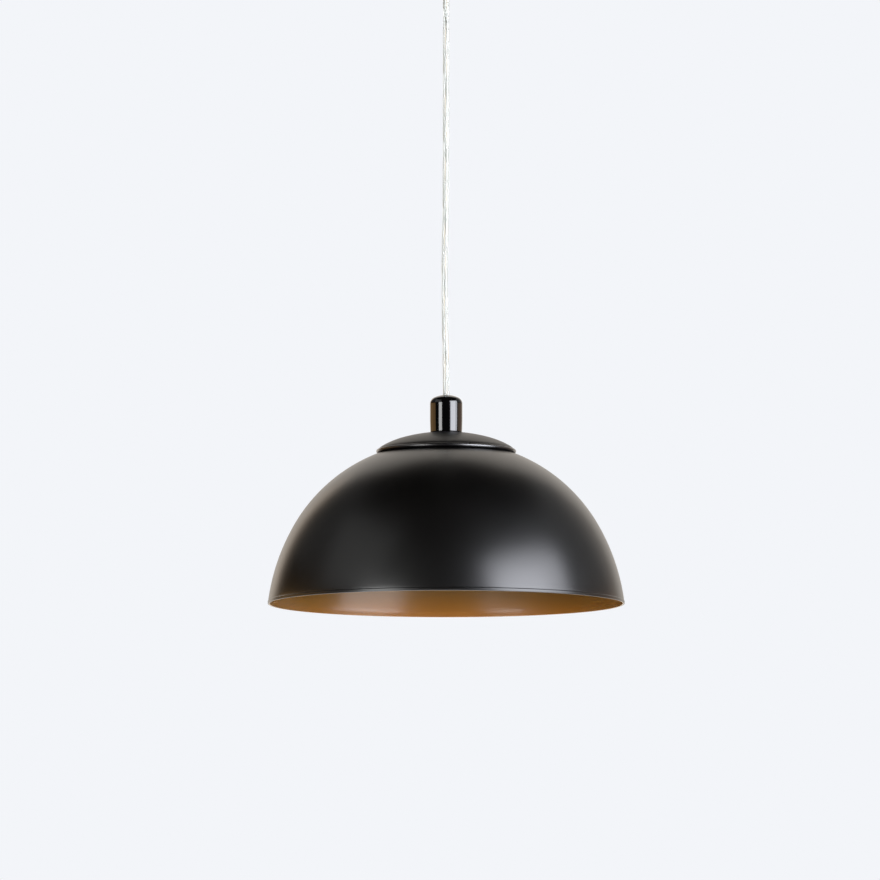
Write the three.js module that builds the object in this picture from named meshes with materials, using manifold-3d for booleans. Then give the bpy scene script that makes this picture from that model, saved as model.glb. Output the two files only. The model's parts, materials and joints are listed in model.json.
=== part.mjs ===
// Pendant ceiling light: a spun dome shade, black outside and bronze inside, that hangs by its own
// clear cord from a ceiling canopy and holds an E27 lampholder with a golf-ball bulb.
//
// Units are millimetres and +Z is up. The origin is the centre of the face that meets the ceiling,
// so the whole lamp lies below z = 0. Heights called "up" are measured from the plane of the
// shade's rim, and the lamp's own pieces sit in a group that lies on that plane.

import * as THREE from 'three';
import { mergeVertices } from 'three/addons/utils/BufferGeometryUtils.js';
import Module from 'manifold-3d';

const wasm = await Module();
wasm.setup();

// ---------------------------------------------------------------- driving dimensions

const CLEARANCE = 0.3;             // gap between two pieces that seat on each other
const DROP = 570;                  // ceiling to the plane of the shade's rim

// Cord: clear PVC over three insulated conductors
const CORD_D = 5.4;
const CORE_D = 2.2;
const CORE_SPREAD = 1.45;          // conductor centres from the cord's axis where the sheath ends
const PIVOT_SPACING = 9;           // the two swing axes cross the cord this far apart
const MOUTH_FLARE = 0.9;           // room that the gland's mouth leaves round the cord

// Sideways bow that the cord keeps from its packing: [share of its length, millimetres along X]
const CORD_BOW = [
  [0, 0], [0.05, 0], [0.12, 0], [0.2, -0.05], [0.3, -0.1], [0.4, -0.15], [0.5, -0.25],
  [0.58, -0.6], [0.65, -1.05], [0.71, -1.25], [0.78, -0.95], [0.85, -0.7], [0.91, -0.4],
  [0.96, -0.1], [0.985, 0], [1, 0],
];

// Shade: spun sheet on two tangent arcs, with a hem folded inwards at the rim
const SHADE_D = 300;
const SHADE_SHEET = 1.0;
const RIM_LEAN = 6.7;              // degrees that the wall leans in at the rim
const WALL_ARC_R = 174.6;
const SHOULDER_LEAN = 30.1;        // lean where the wall's arc meets the crown's
const CROWN_ARC_R = 138.5;
const SHADE_LAND_D = 40;           // flat land at the crown's top, over the lampholder
const HEM_H = 2.8;
const HEM_T = 1.9;
const HEM_CREASE = 0.35;

// Top cap: shallow pressed dish that stands on the shade on a rolled bead
const CAP_D = 118;
const CAP_SHEET = 1.0;
const CAP_BEAD_D = 3.2;
const CAP_LAND_D = 28;
const CAP_NUT_ROOM = 3.6;          // room between the dish and the lock nut under it
const CAP_SHOULDER_R = 70;
const CAP_EDGE_R = 14.5;
const CAP_SLOPES = { crown: 15.8, shoulder: 30, edge: 45 };  // where its arcs end, in proportion
const CAP_GROOVE = 0.4;            // notch between the dish and its bead
const CAP_BEAD_START = 120;        // degrees round the bead where the dish runs into it

// Grip cover: turned cup over the cord clamp
const GRIP_D = 27.4;
const GRIP_H = 32.1;
const GRIP_WALL = 1.0;
const GRIP_CROWN_R = 24;
const GRIP_CORNER_R = 5.9;
const GRIP_FOOT_D = 26.8;
const GRIP_FOOT_EDGE = 0.7;
const GRIP_TAPER_H = 10;

// Threaded lamp tube and its hardware, M10 x 1
const NIPPLE_D = 10;
const NIPPLE_BORE = 7.4;
const NUT_AF = 14;
const NUT_H = 3;
const WASHER_D = 18;
const WASHER_T = 0.8;
const WASHER_TEETH = 8;
const WASHER_TOOTH_H = 1.6;

// Cord clamp inside the grip
const CLAMP_BASE_H = 6.5;
const CLAMP_NECK_D = 18;
const CLAMP_NECK_H = 16;
const CLAMP_SCREW_D = 4;
const CLAMP_SCREW_UP = 14.5;       // screw axis above the clamp's foot
const CLAMP_SCREW_HEAD_D = 6.4;

// Lampholder
const HOLDER_D = 40;
const HOLDER_WALL = 2;
const HOLDER_DOME_H = 22;
const HOLDER_DOME_R = 10;          // rounding from the dome's flat top to its side
const HOLDER_BOSS_D = 17;
const HOLDER_BOSS_H = 8;
const HOLDER_SPIGOT_H = 3;
const HOLDER_SPIGOT_WALL = 2;
const HOLDER_SKIRT_H = 34;
const HOLDER_MOUTH_D = 29.6;
const HOLDER_MOUTH_R = 3;          // rounding of the skirt's lower edge
const INSERT_LEDGE = 2;            // width of the skirt's ledge under the insert
const INSERT_H = 11;
const GRUB_D = 3;
const SHELL_BORE = 26.7;
const SHELL_SHEET = 0.4;
const SHELL_H = 18;
const SHELL_FLANGE_BORE = 15;
const CONTACT_W = 5;
const CONTACT_T = 0.5;
const CONTACT_DROP = 2.4;          // fall of the centre contact's tongue
const CENTRE_LEG_X = 5.5;          // the centre contact's leg from the axis
const SIDE_LEG_X = 9.5;            // the side contact's leg from the axis
const CONTACT_PAD_X = 14.5;        // outer end of both contacts' pads
const TERMINAL_X = 12.2;
const TERMINAL_SCREW_D = 2.6;
const TERMINAL_SCREW_GRIP = 6;     // depth of the screw in the insert
const RIVET_D = 2.4;
const RIVET_Y = 10;
const RIVET_HEAD_H = 0.6;

// Bulb: E27 cap, moulded collar and opal globe
const BULB_CAP_D = 26;
const BULB_CAP_H = 22;
const BULB_CAP_SHEET = 0.4;
const BULB_CAP_SHOULDER = 1.5;
const BULB_TIP_D = 9;
const BULB_TIP_H = 2;
const BULB_INSULATOR_H = 2;
const BULB_COLLAR_H = 14.6;
const BULB_COLLAR_WALL = 1.4;
const GLOBE_D = 45;
const GLOBE_WALL = 1.0;
const GLOBE_SEAT_ANGLE = 26;       // degrees above the globe's equator where it meets the collar
const BOARD_T = 1.6;

// Ceiling canopy, bracket and gland
const CANOPY_D = 100;
const CANOPY_H = 30;
const CANOPY_SHEET = 1.0;
const CANOPY_EDGE_R = 5;
const BRACKET_W = 20;
const BRACKET_T = 2;
const BRACKET_BEND_R = 0.8;        // inside radius of the bracket's two bends
const EAR_H = 15;
const EAR_SCREW_D = 4;
const EAR_SCREW_DOWN = 9;
const KNOB_D = 7;
const KNOB_H = 2.6;
const SLOT_W = 5;
const SLOT_L = 10;
const SLOT_X = 37;
const CABLE_HOLE_D = 13;
const CABLE_HOLE_X = 17;
const GLAND_FLANGE_D = 18;
const GLAND_FLANGE_H = 4.4;
const GLAND_NOSE_TOP_D = 15;
const GLAND_NOSE_D = 10;
const GLAND_NOSE_H = 7.6;
const GLAND_STEM_H = 7.5;          // threaded stem above the canopy's floor
const SHEATH_ABOVE_GLAND = 2;

// Terminal block
const POLES = ['earth', 'neutral', 'live'];
const POLE_PITCH = 12;
const BLOCK_X = -20;
const BLOCK_L = 16;
const TOWER_W = 7.6;
const TOWER_H = 12;
const WEB_H = 5;
const FERRULE_D = 5;
const FERRULE_BORE = 3;
const FERRULE_DOWN = 7;            // ferrule axis below the block's top
const POLE_SCREW_D = 2.6;
const POLE_SCREW_HEAD_D = 3.6;
const POLE_SCREW_SPACING = 8;
const FIXING_HEAD_D = 3.8;

// Earth points
const EARTH_SCREW_D = 4;
const EARTH_SCREW_X = 27;
const EARTH_SCREW_Y = -3.5;
const TAG_D = 9;
const TAG_T = 0.8;
const TAG_BARREL_D = 3.6;
const TAG_BARREL_L = 6;

// Screw heads are this share of the shank's diameter across and deep, where not stated
const HEAD_ACROSS = 1.75;
const HEAD_DEEP = 0.6;
const DRIVER_SLOT = 0.7;           // width of a screwdriver slot
const DRIVER_SLOT_DEEP = 0.6;

// Facets round turned pieces
const ROUND_SHADE = 48;
const ROUND_LARGE = 36;
const ROUND_MEDIUM = 24;
const ROUND_SMALL = 14;
const ROUND_TINY = 8;
const CORD_SIDES = 10;
const CORE_SIDES = 6;

// ---------------------------------------------------------------- worked-out places

const rad = THREE.MathUtils.degToRad;
const deg = THREE.MathUtils.radToDeg;
const sin = (degrees) => Math.sin(rad(degrees));
const cos = (degrees) => Math.cos(rad(degrees));

const CORD_R = CORD_D / 2;
const CORE_R = CORE_D / 2;
const CORD_HOLE_R = CORD_R + CLEARANCE;
const NIPPLE_HOLE_R = NIPPLE_D / 2 + CLEARANCE;

// The centres of the shade's two arcs
const shadeWall = {
  r: SHADE_D / 2 - WALL_ARC_R * cos(RIM_LEAN),
  up: -WALL_ARC_R * sin(RIM_LEAN),
};
const shadeCrown = {
  r: shadeWall.r + (WALL_ARC_R - CROWN_ARC_R) * cos(SHOULDER_LEAN),
  up: shadeWall.up + (WALL_ARC_R - CROWN_ARC_R) * sin(SHOULDER_LEAN),
};
const LAND_LEAN = deg(Math.acos((SHADE_LAND_D / 2 - shadeCrown.r) / CROWN_ARC_R));
const SHADE_TOP = shadeCrown.up + CROWN_ARC_R * sin(LAND_LEAN);
const SHADE_LAND_UNDER = SHADE_TOP - SHADE_SHEET * sin(LAND_LEAN);

// The cap's bead stands on the crown's arc
const BEAD_R = CAP_BEAD_D / 2;
const beadCentreR = CAP_D / 2 - BEAD_R;
const beadStand = CROWN_ARC_R + BEAD_R + CLEARANCE;
const beadCentreUp = shadeCrown.up + Math.sqrt(beadStand ** 2 - (beadCentreR - shadeCrown.r) ** 2);

// The lock nut stands on a toothed washer on the shade's land, and the cap clears it.
const WASHER_FOOT = SHADE_TOP + CLEARANCE;
const LOCK_NUT_FOOT = WASHER_FOOT + WASHER_T + CLEARANCE;
const CAP_TOP = LOCK_NUT_FOOT + NUT_H + CAP_NUT_ROOM + CAP_SHEET;

// The cap's section is a chain of tangent arcs: the crown about the axis, the shoulder, the edge.
// Steepness turns all its slopes up together.
function capArcs(steepness) {
  const [crownSlope, shoulderSlope, edgeSlope] = [
    CAP_SLOPES.crown, CAP_SLOPES.shoulder, CAP_SLOPES.edge].map((slope) => slope * steepness);
  const edge = {
    r: beadCentreR - CAP_GROOVE - CAP_EDGE_R * sin(edgeSlope),
    up: beadCentreUp + BEAD_R + CAP_GROOVE - CAP_EDGE_R * cos(edgeSlope),
  };
  const shoulder = {
    r: edge.r + (CAP_EDGE_R - CAP_SHOULDER_R) * sin(shoulderSlope),
    up: edge.up + (CAP_EDGE_R - CAP_SHOULDER_R) * cos(shoulderSlope),
  };
  const crownR = CAP_SHOULDER_R + shoulder.r / sin(crownSlope);
  const crown = { r: 0, up: shoulder.up + (CAP_SHOULDER_R - crownR) * cos(crownSlope) };
  const top = crown.up + Math.sqrt(crownR ** 2 - (CAP_LAND_D / 2) ** 2);
  return { crown, shoulder, edge, crownR, crownSlope, shoulderSlope, edgeSlope, top };
}

// The steepness that brings the dish up to its height, found by halving an interval.
function capSteepness() {
  let [low, high] = [0.1, 1.9];
  for (let i = 0; i < 40; i += 1) {
    const middle = (low + high) / 2;
    if (capArcs(middle).top < CAP_TOP) low = middle;
    else high = middle;
  }
  return low;
}
const cap = capArcs(capSteepness());

// Grip and clamp stand on the cap
const GRIP_FOOT = CAP_TOP + CLEARANCE;
const GRIP_TOP = GRIP_FOOT + GRIP_H;
const CLAMP_BASE_D = GRIP_FOOT_D - 2 * (GRIP_WALL + CLEARANCE);
const CLAMP_TOP = GRIP_FOOT + CLAMP_BASE_H + CLAMP_NECK_H;
const NIPPLE_TOP = GRIP_FOOT + CLAMP_BASE_H - CLEARANCE;

// Lampholder hangs under the crown's land
const HOLDER_TOP = SHADE_LAND_UNDER - CLEARANCE;
const BOSS_FOOT = HOLDER_TOP - HOLDER_BOSS_H;
const LOWER_TAG_TOP = BOSS_FOOT - CLEARANCE;
const END_NUT_TOP = LOWER_TAG_TOP - TAG_T - CLEARANCE;
const NIPPLE_FOOT = END_NUT_TOP - NUT_H - CLEARANCE;
const SHEATH_FOOT = NIPPLE_FOOT - 1;
const DOME_FOOT = HOLDER_TOP - HOLDER_DOME_H;
const SKIRT_TOP = DOME_FOOT - CLEARANCE;
const SKIRT_FOOT = SKIRT_TOP - HOLDER_SKIRT_H;
const SKIRT_BORE_R = HOLDER_D / 2 - HOLDER_WALL;
const INSERT_TOP = SKIRT_TOP - HOLDER_SPIGOT_H - CLEARANCE;
const INSERT_FOOT = INSERT_TOP - INSERT_H;
const SHELL_TOP = INSERT_FOOT - CLEARANCE;
const SHELL_FOOT = SHELL_TOP - SHELL_H;
const SHELL_R = SHELL_BORE / 2 + SHELL_SHEET;
const PAD_TOP = INSERT_TOP + CLEARANCE + CONTACT_T;
const TONGUE_UNDER = INSERT_FOOT - CLEARANCE - CONTACT_DROP - CONTACT_T;

// Bulb hangs from the centre contact
const BULB_TOP = TONGUE_UNDER - CLEARANCE;
const INSULATOR_TOP = BULB_TOP - BULB_TIP_H - CLEARANCE;
const BULB_CAP_TOP = INSULATOR_TOP - BULB_INSULATOR_H - CLEARANCE;
const BULB_CAP_FOOT = BULB_CAP_TOP - BULB_CAP_H;
const COLLAR_TOP = BULB_CAP_FOOT - CLEARANCE;
const COLLAR_FOOT = COLLAR_TOP - BULB_COLLAR_H;
const GLOBE_SEAT_R = (GLOBE_D / 2) * cos(GLOBE_SEAT_ANGLE);
const GLOBE_CENTRE = COLLAR_FOOT - CLEARANCE - (GLOBE_D / 2) * sin(GLOBE_SEAT_ANGLE);

// Ceiling set, in z from the ceiling
const CANOPY_FLOOR = -CANOPY_H;
const FLANGE_TOP = CANOPY_FLOOR - CLEARANCE;
const FLANGE_FOOT = FLANGE_TOP - GLAND_FLANGE_H;
const SWING_X_Z = FLANGE_FOOT - GLAND_NOSE_H;
const SWING_Y_Z = SWING_X_Z - PIVOT_SPACING;
const STEM_TOP = CANOPY_FLOOR + CANOPY_SHEET + GLAND_STEM_H;
const SHEATH_TOP = STEM_TOP + SHEATH_ABOVE_GLAND;
const EAR_X = Math.sqrt((CANOPY_D / 2 - CANOPY_SHEET) ** 2 - (BRACKET_W / 2) ** 2) - CLEARANCE;
const BLOCK_TOP = -BRACKET_T - CLEARANCE;
const FERRULE_Z = BLOCK_TOP - FERRULE_DOWN;
const FIXING_Y = POLE_PITCH / 2;
const UPPER_TAG_Z = -BRACKET_T - CLEARANCE - TAG_T;

// ---------------------------------------------------------------- materials

function finish(color, roughness, metalness, extra = {}) {
  return new THREE.MeshStandardMaterial({ color, roughness, metalness, ...extra });
}

const satinBlack = () => finish(0x1b1b1c, 0.45, 0.4);
const glossBlack = () => finish(0x141416, 0.25, 0.3);
const zincSteel = () => finish(0xb9bcc0, 0.35, 1.0);
const brass = () => finish(0xc49a4a, 0.3, 1.0);
const nickel = () => finish(0xc9c6bd, 0.25, 1.0);
const blackPlastic = () => finish(0x202022, 0.55, 0.0);
const whiteNylon = () => finish(0xe8e6df, 0.5, 0.0);
const porcelain = () => finish(0xf0ece2, 0.35, 0.0);
const clearPvc = () => finish(0xe6e9e8, 0.15, 0.0, { transparent: true, opacity: 0.5 });
const opalGlass = () => finish(0xf6f4ee, 0.4, 0.0);
const coreInsulation = (pole) => finish(
  { live: 0x6a3f22, neutral: 0x2f63b4, earth: 0x5f9a35 }[pole], 0.5, 0.0,
);

// ---------------------------------------------------------------- geometry helpers

// Keeps position only, merges shared vertices, drops empty triangles and points faces outwards.
function tidy(geometry) {
  const bare = geometry.clone();
  for (const name of ['normal', 'uv']) bare.deleteAttribute(name);
  const merged = mergeVertices(bare, 1e-5);
  const corners = merged.index.array;
  let kept = [];
  for (let i = 0; i < corners.length; i += 3) {
    const [a, b, c] = corners.slice(i, i + 3);
    if (a !== b && b !== c && c !== a) kept.push(a, b, c);
  }
  if (signedVolume(merged.attributes.position, kept) < 0) kept = kept.reverse();
  merged.setIndex(kept);
  merged.computeVertexNormals();
  return merged;
}

function signedVolume(position, index) {
  const [a, b, c] = [new THREE.Vector3(), new THREE.Vector3(), new THREE.Vector3()];
  let total = 0;
  for (let i = 0; i < index.length; i += 3) {
    a.fromBufferAttribute(position, index[i]);
    b.fromBufferAttribute(position, index[i + 1]);
    c.fromBufferAttribute(position, index[i + 2]);
    total += a.dot(b.cross(c));
  }
  return total;
}

function toSolid(geometry) {
  const clean = tidy(geometry);
  return new wasm.Manifold(new wasm.Mesh({
    numProp: 3,
    vertProperties: new Float32Array(clean.attributes.position.array),
    triVerts: new Uint32Array(clean.index.array),
  }));
}

function fromSolid(solid) {
  const { vertProperties, triVerts } = solid.getMesh();
  const geometry = new THREE.BufferGeometry();
  geometry.setAttribute('position', new THREE.BufferAttribute(new Float32Array(vertProperties), 3));
  geometry.setIndex(Array.from(triVerts));
  geometry.computeVertexNormals();
  return geometry;
}

function cut(geometry, ...tools) {
  return fromSolid(tools.reduce((solid, tool) => solid.subtract(toSolid(tool)), toSolid(geometry)));
}

function join(geometry, ...others) {
  return fromSolid(others.reduce((solid, other) => solid.add(toSolid(other)), toSolid(geometry)));
}

// Turns a [radius, height] outline about the Z axis. It starts and ends on the axis or is closed.
function revolve(outline, facets = ROUND_SMALL) {
  const points = outline.map(([r, z]) => new THREE.Vector2(r, z));
  if (outline[0][0] > 0) points.push(points[0].clone());
  return tidy(new THREE.LatheGeometry(points, facets).rotateX(Math.PI / 2));
}

// Points on an arc of the [radius, height] plane, angles in degrees from the outward direction.
function arc(centre, radius, from, to, steps) {
  return Array.from({ length: steps + 1 }, (_, i) => {
    const angle = from + ((to - from) * i) / steps;
    return [centre.r + radius * cos(angle), centre.up + radius * sin(angle)];
  });
}

function rod(radius, z0, z1, facets = ROUND_SMALL) {
  return revolve([[0, z0], [radius, z0], [radius, z1], [0, z1]], facets);
}

function ring(inner, outer, z0, z1, facets = ROUND_SMALL) {
  return revolve([[inner, z0], [outer, z0], [outer, z1], [inner, z1]], facets);
}

// Lays a piece that was made along +Z down along +X.
function alongX(geometry) {
  return geometry.rotateY(Math.PI / 2);
}

function block(x0, x1, y0, y1, z0, z1) {
  return tidy(new THREE.BoxGeometry(x1 - x0, y1 - y0, z1 - z0)
    .translate((x0 + x1) / 2, (y0 + y1) / 2, (z0 + z1) / 2));
}

function polygon(points) {
  return new THREE.Shape(points.map(([x, y]) => new THREE.Vector2(x, y)));
}

function circlePoints(sides, radius, turn = 0) {
  return Array.from({ length: sides }, (_, i) => {
    const angle = turn + (2 * Math.PI * i) / sides;
    return [radius * Math.cos(angle), radius * Math.sin(angle)];
  });
}

function plate(shape, z0, z1) {
  const options = { depth: z1 - z0, bevelEnabled: false, curveSegments: 6 };
  return tidy(new THREE.ExtrudeGeometry(shape, options).translate(0, 0, z0));
}

// An X-Z outline given a width along Y, and a Y-Z outline given a length along X.
function acrossY(shape, width) {
  const [x, y, z] = [new THREE.Vector3(1, 0, 0), new THREE.Vector3(0, 0, 1), new THREE.Vector3(0, -1, 0)];
  return plate(shape, -width / 2, width / 2).applyMatrix4(new THREE.Matrix4().makeBasis(x, y, z));
}

function acrossX(shape, x0, x1) {
  const [x, y, z] = [new THREE.Vector3(0, 1, 0), new THREE.Vector3(0, 0, 1), new THREE.Vector3(1, 0, 0)];
  return plate(shape, x0, x1).applyMatrix4(new THREE.Matrix4().makeBasis(x, y, z));
}

// A round wire or cord along a smooth path, with a step every few diameters.
function wire(points, radius, sides, diametersPerStep) {
  const path = new THREE.CatmullRomCurve3(points.map((p) => new THREE.Vector3(...p)));
  const steps = Math.ceil(path.getLength() / (diametersPerStep * 2 * radius));
  const section = polygon(circlePoints(sides, radius));
  return tidy(new THREE.ExtrudeGeometry(section, { steps, extrudePath: path }));
}

// A slotted screw with its tip at height 0 and its head on top.
function screw(shankD, shankL, headD = shankD * HEAD_ACROSS, headH = shankD * HEAD_DEEP) {
  const top = shankL + headH;
  const edge = Math.min(headH / 3, headD / 8);
  const body = revolve([
    [0, 0], [shankD / 2, 0], [shankD / 2, shankL], [headD / 2, shankL],
    [headD / 2, top - edge], [headD / 2 - edge, top], [0, top],
  ], ROUND_TINY);
  const slot = block(-headD, headD, -DRIVER_SLOT / 2, DRIVER_SLOT / 2, top - DRIVER_SLOT_DEEP, top + 1);
  return cut(body, slot);
}

// A headless screw with its tip at height 0.
function grubScrew(diameter, length) {
  const slot = block(-diameter, diameter, -DRIVER_SLOT / 2, DRIVER_SLOT / 2,
    length - DRIVER_SLOT_DEEP, length + 1);
  return cut(rod(diameter / 2, 0, length, ROUND_TINY), slot);
}

function hexNut(z0) {
  const across = polygon(circlePoints(6, NUT_AF / 2 / cos(30)));
  return cut(plate(across, z0, z0 + NUT_H), rod(NIPPLE_HOLE_R, z0 - 1, z0 + NUT_H + 1));
}

// A flat washer with locking teeth round its outside.
function toothedWasher(z0) {
  const teeth = circlePoints(WASHER_TEETH * 4, 1).map(([x, y], i) => {
    const radius = i % 4 < 2 ? WASHER_D / 2 : WASHER_D / 2 - WASHER_TOOTH_H;
    return [x * radius, y * radius];
  });
  return cut(plate(polygon(teeth), z0, z0 + WASHER_T), rod(NIPPLE_HOLE_R, z0 - 1, z0 + WASHER_T + 1));
}

// ---------------------------------------------------------------- assembly

const pendant = new THREE.Group();
const lamp = new THREE.Group();
lamp.position.z = -DROP;
pendant.add(lamp);

function place(group, name, geometry, material) {
  const mesh = new THREE.Mesh(geometry, material);
  mesh.name = name;
  group.add(mesh);
}

// ---------------------------------------------------------------- shade

// The shade's section from the rim to the land, at a depth inside the outer face.
function shadeCurve(depth) {
  const wall = arc(shadeWall, WALL_ARC_R - depth, RIM_LEAN, SHOULDER_LEAN, 3);
  const crown = arc(shadeCrown, CROWN_ARC_R - depth, SHOULDER_LEAN, LAND_LEAN, 7);
  return [...wall, ...crown.slice(1)];
}

function shade() {
  const rimR = SHADE_D / 2;
  const hemR = HEM_T / 2;
  const wallR = (up) => rimR - up * Math.tan(rad(RIM_LEAN));
  const hem = [
    [wallR(HEM_H + 2 * HEM_CREASE), HEM_H + 2 * HEM_CREASE],
    [wallR(HEM_H) - HEM_CREASE, HEM_H],
    [rimR, HEM_H - HEM_CREASE],
    ...arc({ r: rimR - hemR, up: hemR }, hemR, 0, -180, 4),
    [rimR - HEM_T, HEM_H],
    [wallR(HEM_H) - SHADE_SHEET, HEM_H + HEM_CREASE],
  ];
  const hole = [[NIPPLE_HOLE_R, SHADE_LAND_UNDER], [NIPPLE_HOLE_R, SHADE_TOP]];
  const outer = shadeCurve(0).slice(1).reverse();
  const inner = shadeCurve(SHADE_SHEET).slice(1);
  return revolve([...outer, ...hem, ...inner, ...hole], ROUND_SHADE);
}

place(lamp, 'shade', shade(), satinBlack());

// ---------------------------------------------------------------- top cap

// The dish's section from the land outwards, at a depth inside the outer face.
function capCurve(depth, steps) {
  const landSlope = deg(Math.asin(CAP_LAND_D / 2 / cap.crownR));
  const crown = arc(cap.crown, cap.crownR - depth, 90 - landSlope, 90 - cap.crownSlope, steps);
  const shoulder = arc(cap.shoulder, CAP_SHOULDER_R - depth,
    90 - cap.crownSlope, 90 - cap.shoulderSlope, steps);
  const edge = arc(cap.edge, CAP_EDGE_R - depth,
    90 - cap.shoulderSlope, 90 - cap.edgeSlope, steps - 1);
  return [...crown, ...shoulder.slice(1), ...edge.slice(1)];
}

function topCap() {
  const bead = arc({ r: beadCentreR, up: beadCentreUp }, BEAD_R, CAP_BEAD_START, -180, 7);
  const outer = [[NIPPLE_HOLE_R, CAP_TOP], ...capCurve(0, 3)];
  const inner = [...capCurve(CAP_SHEET, 2).slice(0, -1).reverse(), [NIPPLE_HOLE_R, CAP_TOP - CAP_SHEET]];
  return revolve([...outer, ...bead, ...inner], ROUND_LARGE);
}

place(lamp, 'top_cap', topCap(), satinBlack());

// ---------------------------------------------------------------- grip and cord clamp

// The cover's section from its cord hole to its foot: a domed top, a rounded corner and a wall
// that draws in a little over its last stretch.
function gripCurve(depth) {
  const reach = GRIP_D / 2 - GRIP_CORNER_R;
  const cornerSlope = deg(Math.asin(reach / (GRIP_CROWN_R - GRIP_CORNER_R)));
  const crown = { r: 0, up: GRIP_TOP - GRIP_CROWN_R };
  const corner = { r: reach, up: crown.up + (GRIP_CROWN_R - GRIP_CORNER_R) * cos(cornerSlope) };
  const holeSlope = deg(Math.asin(CORD_HOLE_R / (GRIP_CROWN_R - depth)));
  return [
    ...arc(crown, GRIP_CROWN_R - depth, 90 - holeSlope, 90 - cornerSlope, 2),
    ...arc(corner, GRIP_CORNER_R - depth, 90 - cornerSlope, 0, 4).slice(1),
    [GRIP_D / 2 - depth, GRIP_FOOT + GRIP_TAPER_H],
  ];
}

function gripCover() {
  const footR = GRIP_FOOT_D / 2;
  const foot = [
    [footR, GRIP_FOOT + GRIP_FOOT_EDGE],
    [footR - GRIP_FOOT_EDGE / 3, GRIP_FOOT + GRIP_FOOT_EDGE / 3],
    [footR - GRIP_FOOT_EDGE, GRIP_FOOT],
    [footR - GRIP_WALL, GRIP_FOOT],
  ];
  return revolve([...gripCurve(0), ...foot, ...gripCurve(GRIP_WALL).reverse()], ROUND_MEDIUM);
}

function clampBody() {
  const neckR = CLAMP_NECK_D / 2;
  const baseTop = GRIP_FOOT + CLAMP_BASE_H;
  const body = revolve([
    [NIPPLE_HOLE_R, GRIP_FOOT], [CLAMP_BASE_D / 2, GRIP_FOOT], [CLAMP_BASE_D / 2, baseTop],
    [neckR, baseTop], [neckR, CLAMP_TOP - 1], [neckR - 1, CLAMP_TOP], [CORD_HOLE_R, CLAMP_TOP],
    [CORD_HOLE_R, baseTop], [NIPPLE_HOLE_R, baseTop],
  ]);
  const screwHole = alongX(rod(CLAMP_SCREW_D / 2 + CLEARANCE, 0, CLAMP_NECK_D, ROUND_TINY))
    .translate(0, 0, GRIP_FOOT + CLAMP_SCREW_UP);
  return cut(body, screwHole);
}

place(lamp, 'grip_cover', gripCover(), glossBlack());
place(lamp, 'clamp_body', clampBody(), blackPlastic());
place(lamp, 'clamp_screw', alongX(
  screw(CLAMP_SCREW_D, CLAMP_NECK_D / 2 + CLEARANCE - CORD_HOLE_R, CLAMP_SCREW_HEAD_D),
).translate(CORD_HOLE_R, 0, GRIP_FOOT + CLAMP_SCREW_UP), whiteNylon());

// ---------------------------------------------------------------- lamp tube and its nuts

place(lamp, 'nipple', ring(NIPPLE_BORE / 2, NIPPLE_D / 2, NIPPLE_FOOT, NIPPLE_TOP), zincSteel());
place(lamp, 'toothed_washer', toothedWasher(WASHER_FOOT), zincSteel());
place(lamp, 'lock_nut', hexNut(LOCK_NUT_FOOT), zincSteel());
place(lamp, 'end_nut', hexNut(END_NUT_TOP - NUT_H), zincSteel());

// ---------------------------------------------------------------- lampholder

function holderDome() {
  const outerR = HOLDER_D / 2;
  const spigotR = SKIRT_BORE_R - CLEARANCE;
  const spigotBoreR = spigotR - HOLDER_SPIGOT_WALL;
  const bossR = HOLDER_BOSS_D / 2;
  const corner = { r: outerR - HOLDER_DOME_R, up: HOLDER_TOP - HOLDER_DOME_R };
  const roof = HOLDER_TOP - HOLDER_WALL;
  const body = revolve([
    [NIPPLE_HOLE_R, HOLDER_TOP],
    ...arc(corner, HOLDER_DOME_R, 90, 0, 4),
    [outerR, DOME_FOOT], [spigotR, DOME_FOOT], [spigotR, DOME_FOOT - HOLDER_SPIGOT_H],
    [spigotBoreR, DOME_FOOT - HOLDER_SPIGOT_H], [spigotBoreR, DOME_FOOT + HOLDER_WALL],
    [outerR - HOLDER_WALL, DOME_FOOT + 2 * HOLDER_WALL],
    ...arc(corner, HOLDER_DOME_R - HOLDER_WALL, 0, 90, 3),
    [bossR, roof], [bossR, BOSS_FOOT], [NIPPLE_HOLE_R, BOSS_FOOT],
  ], ROUND_MEDIUM);
  const grubHole = alongX(rod(GRUB_D / 2 + CLEARANCE, 0, bossR + 1, ROUND_TINY))
    .translate(0, 0, BOSS_FOOT + HOLDER_BOSS_H / 2);
  return cut(body, grubHole);
}

function holderSkirt() {
  const outerR = HOLDER_D / 2;
  const mouthR = HOLDER_MOUTH_D / 2;
  const ledgeR = SKIRT_BORE_R - INSERT_LEDGE;
  const ledge = INSERT_FOOT - CLEARANCE;
  const corner = { r: outerR - HOLDER_MOUTH_R, up: SKIRT_FOOT + HOLDER_MOUTH_R };
  return revolve([
    [SKIRT_BORE_R, SKIRT_TOP], [outerR, SKIRT_TOP],
    ...arc(corner, HOLDER_MOUTH_R, 0, -90, 3),
    [mouthR, SKIRT_FOOT], [mouthR, SKIRT_FOOT + HOLDER_WALL], [ledgeR, SKIRT_FOOT + HOLDER_WALL],
    [ledgeR, ledge], [SKIRT_BORE_R, ledge],
  ], ROUND_MEDIUM);
}

function legSlot(x) {
  const [alongLeg, acrossLeg] = [CONTACT_T / 2 + CLEARANCE, CONTACT_W / 2 + CLEARANCE];
  return block(x - alongLeg, x + alongLeg, -acrossLeg, acrossLeg, INSERT_FOOT - 1, INSERT_TOP + 1);
}

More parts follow.
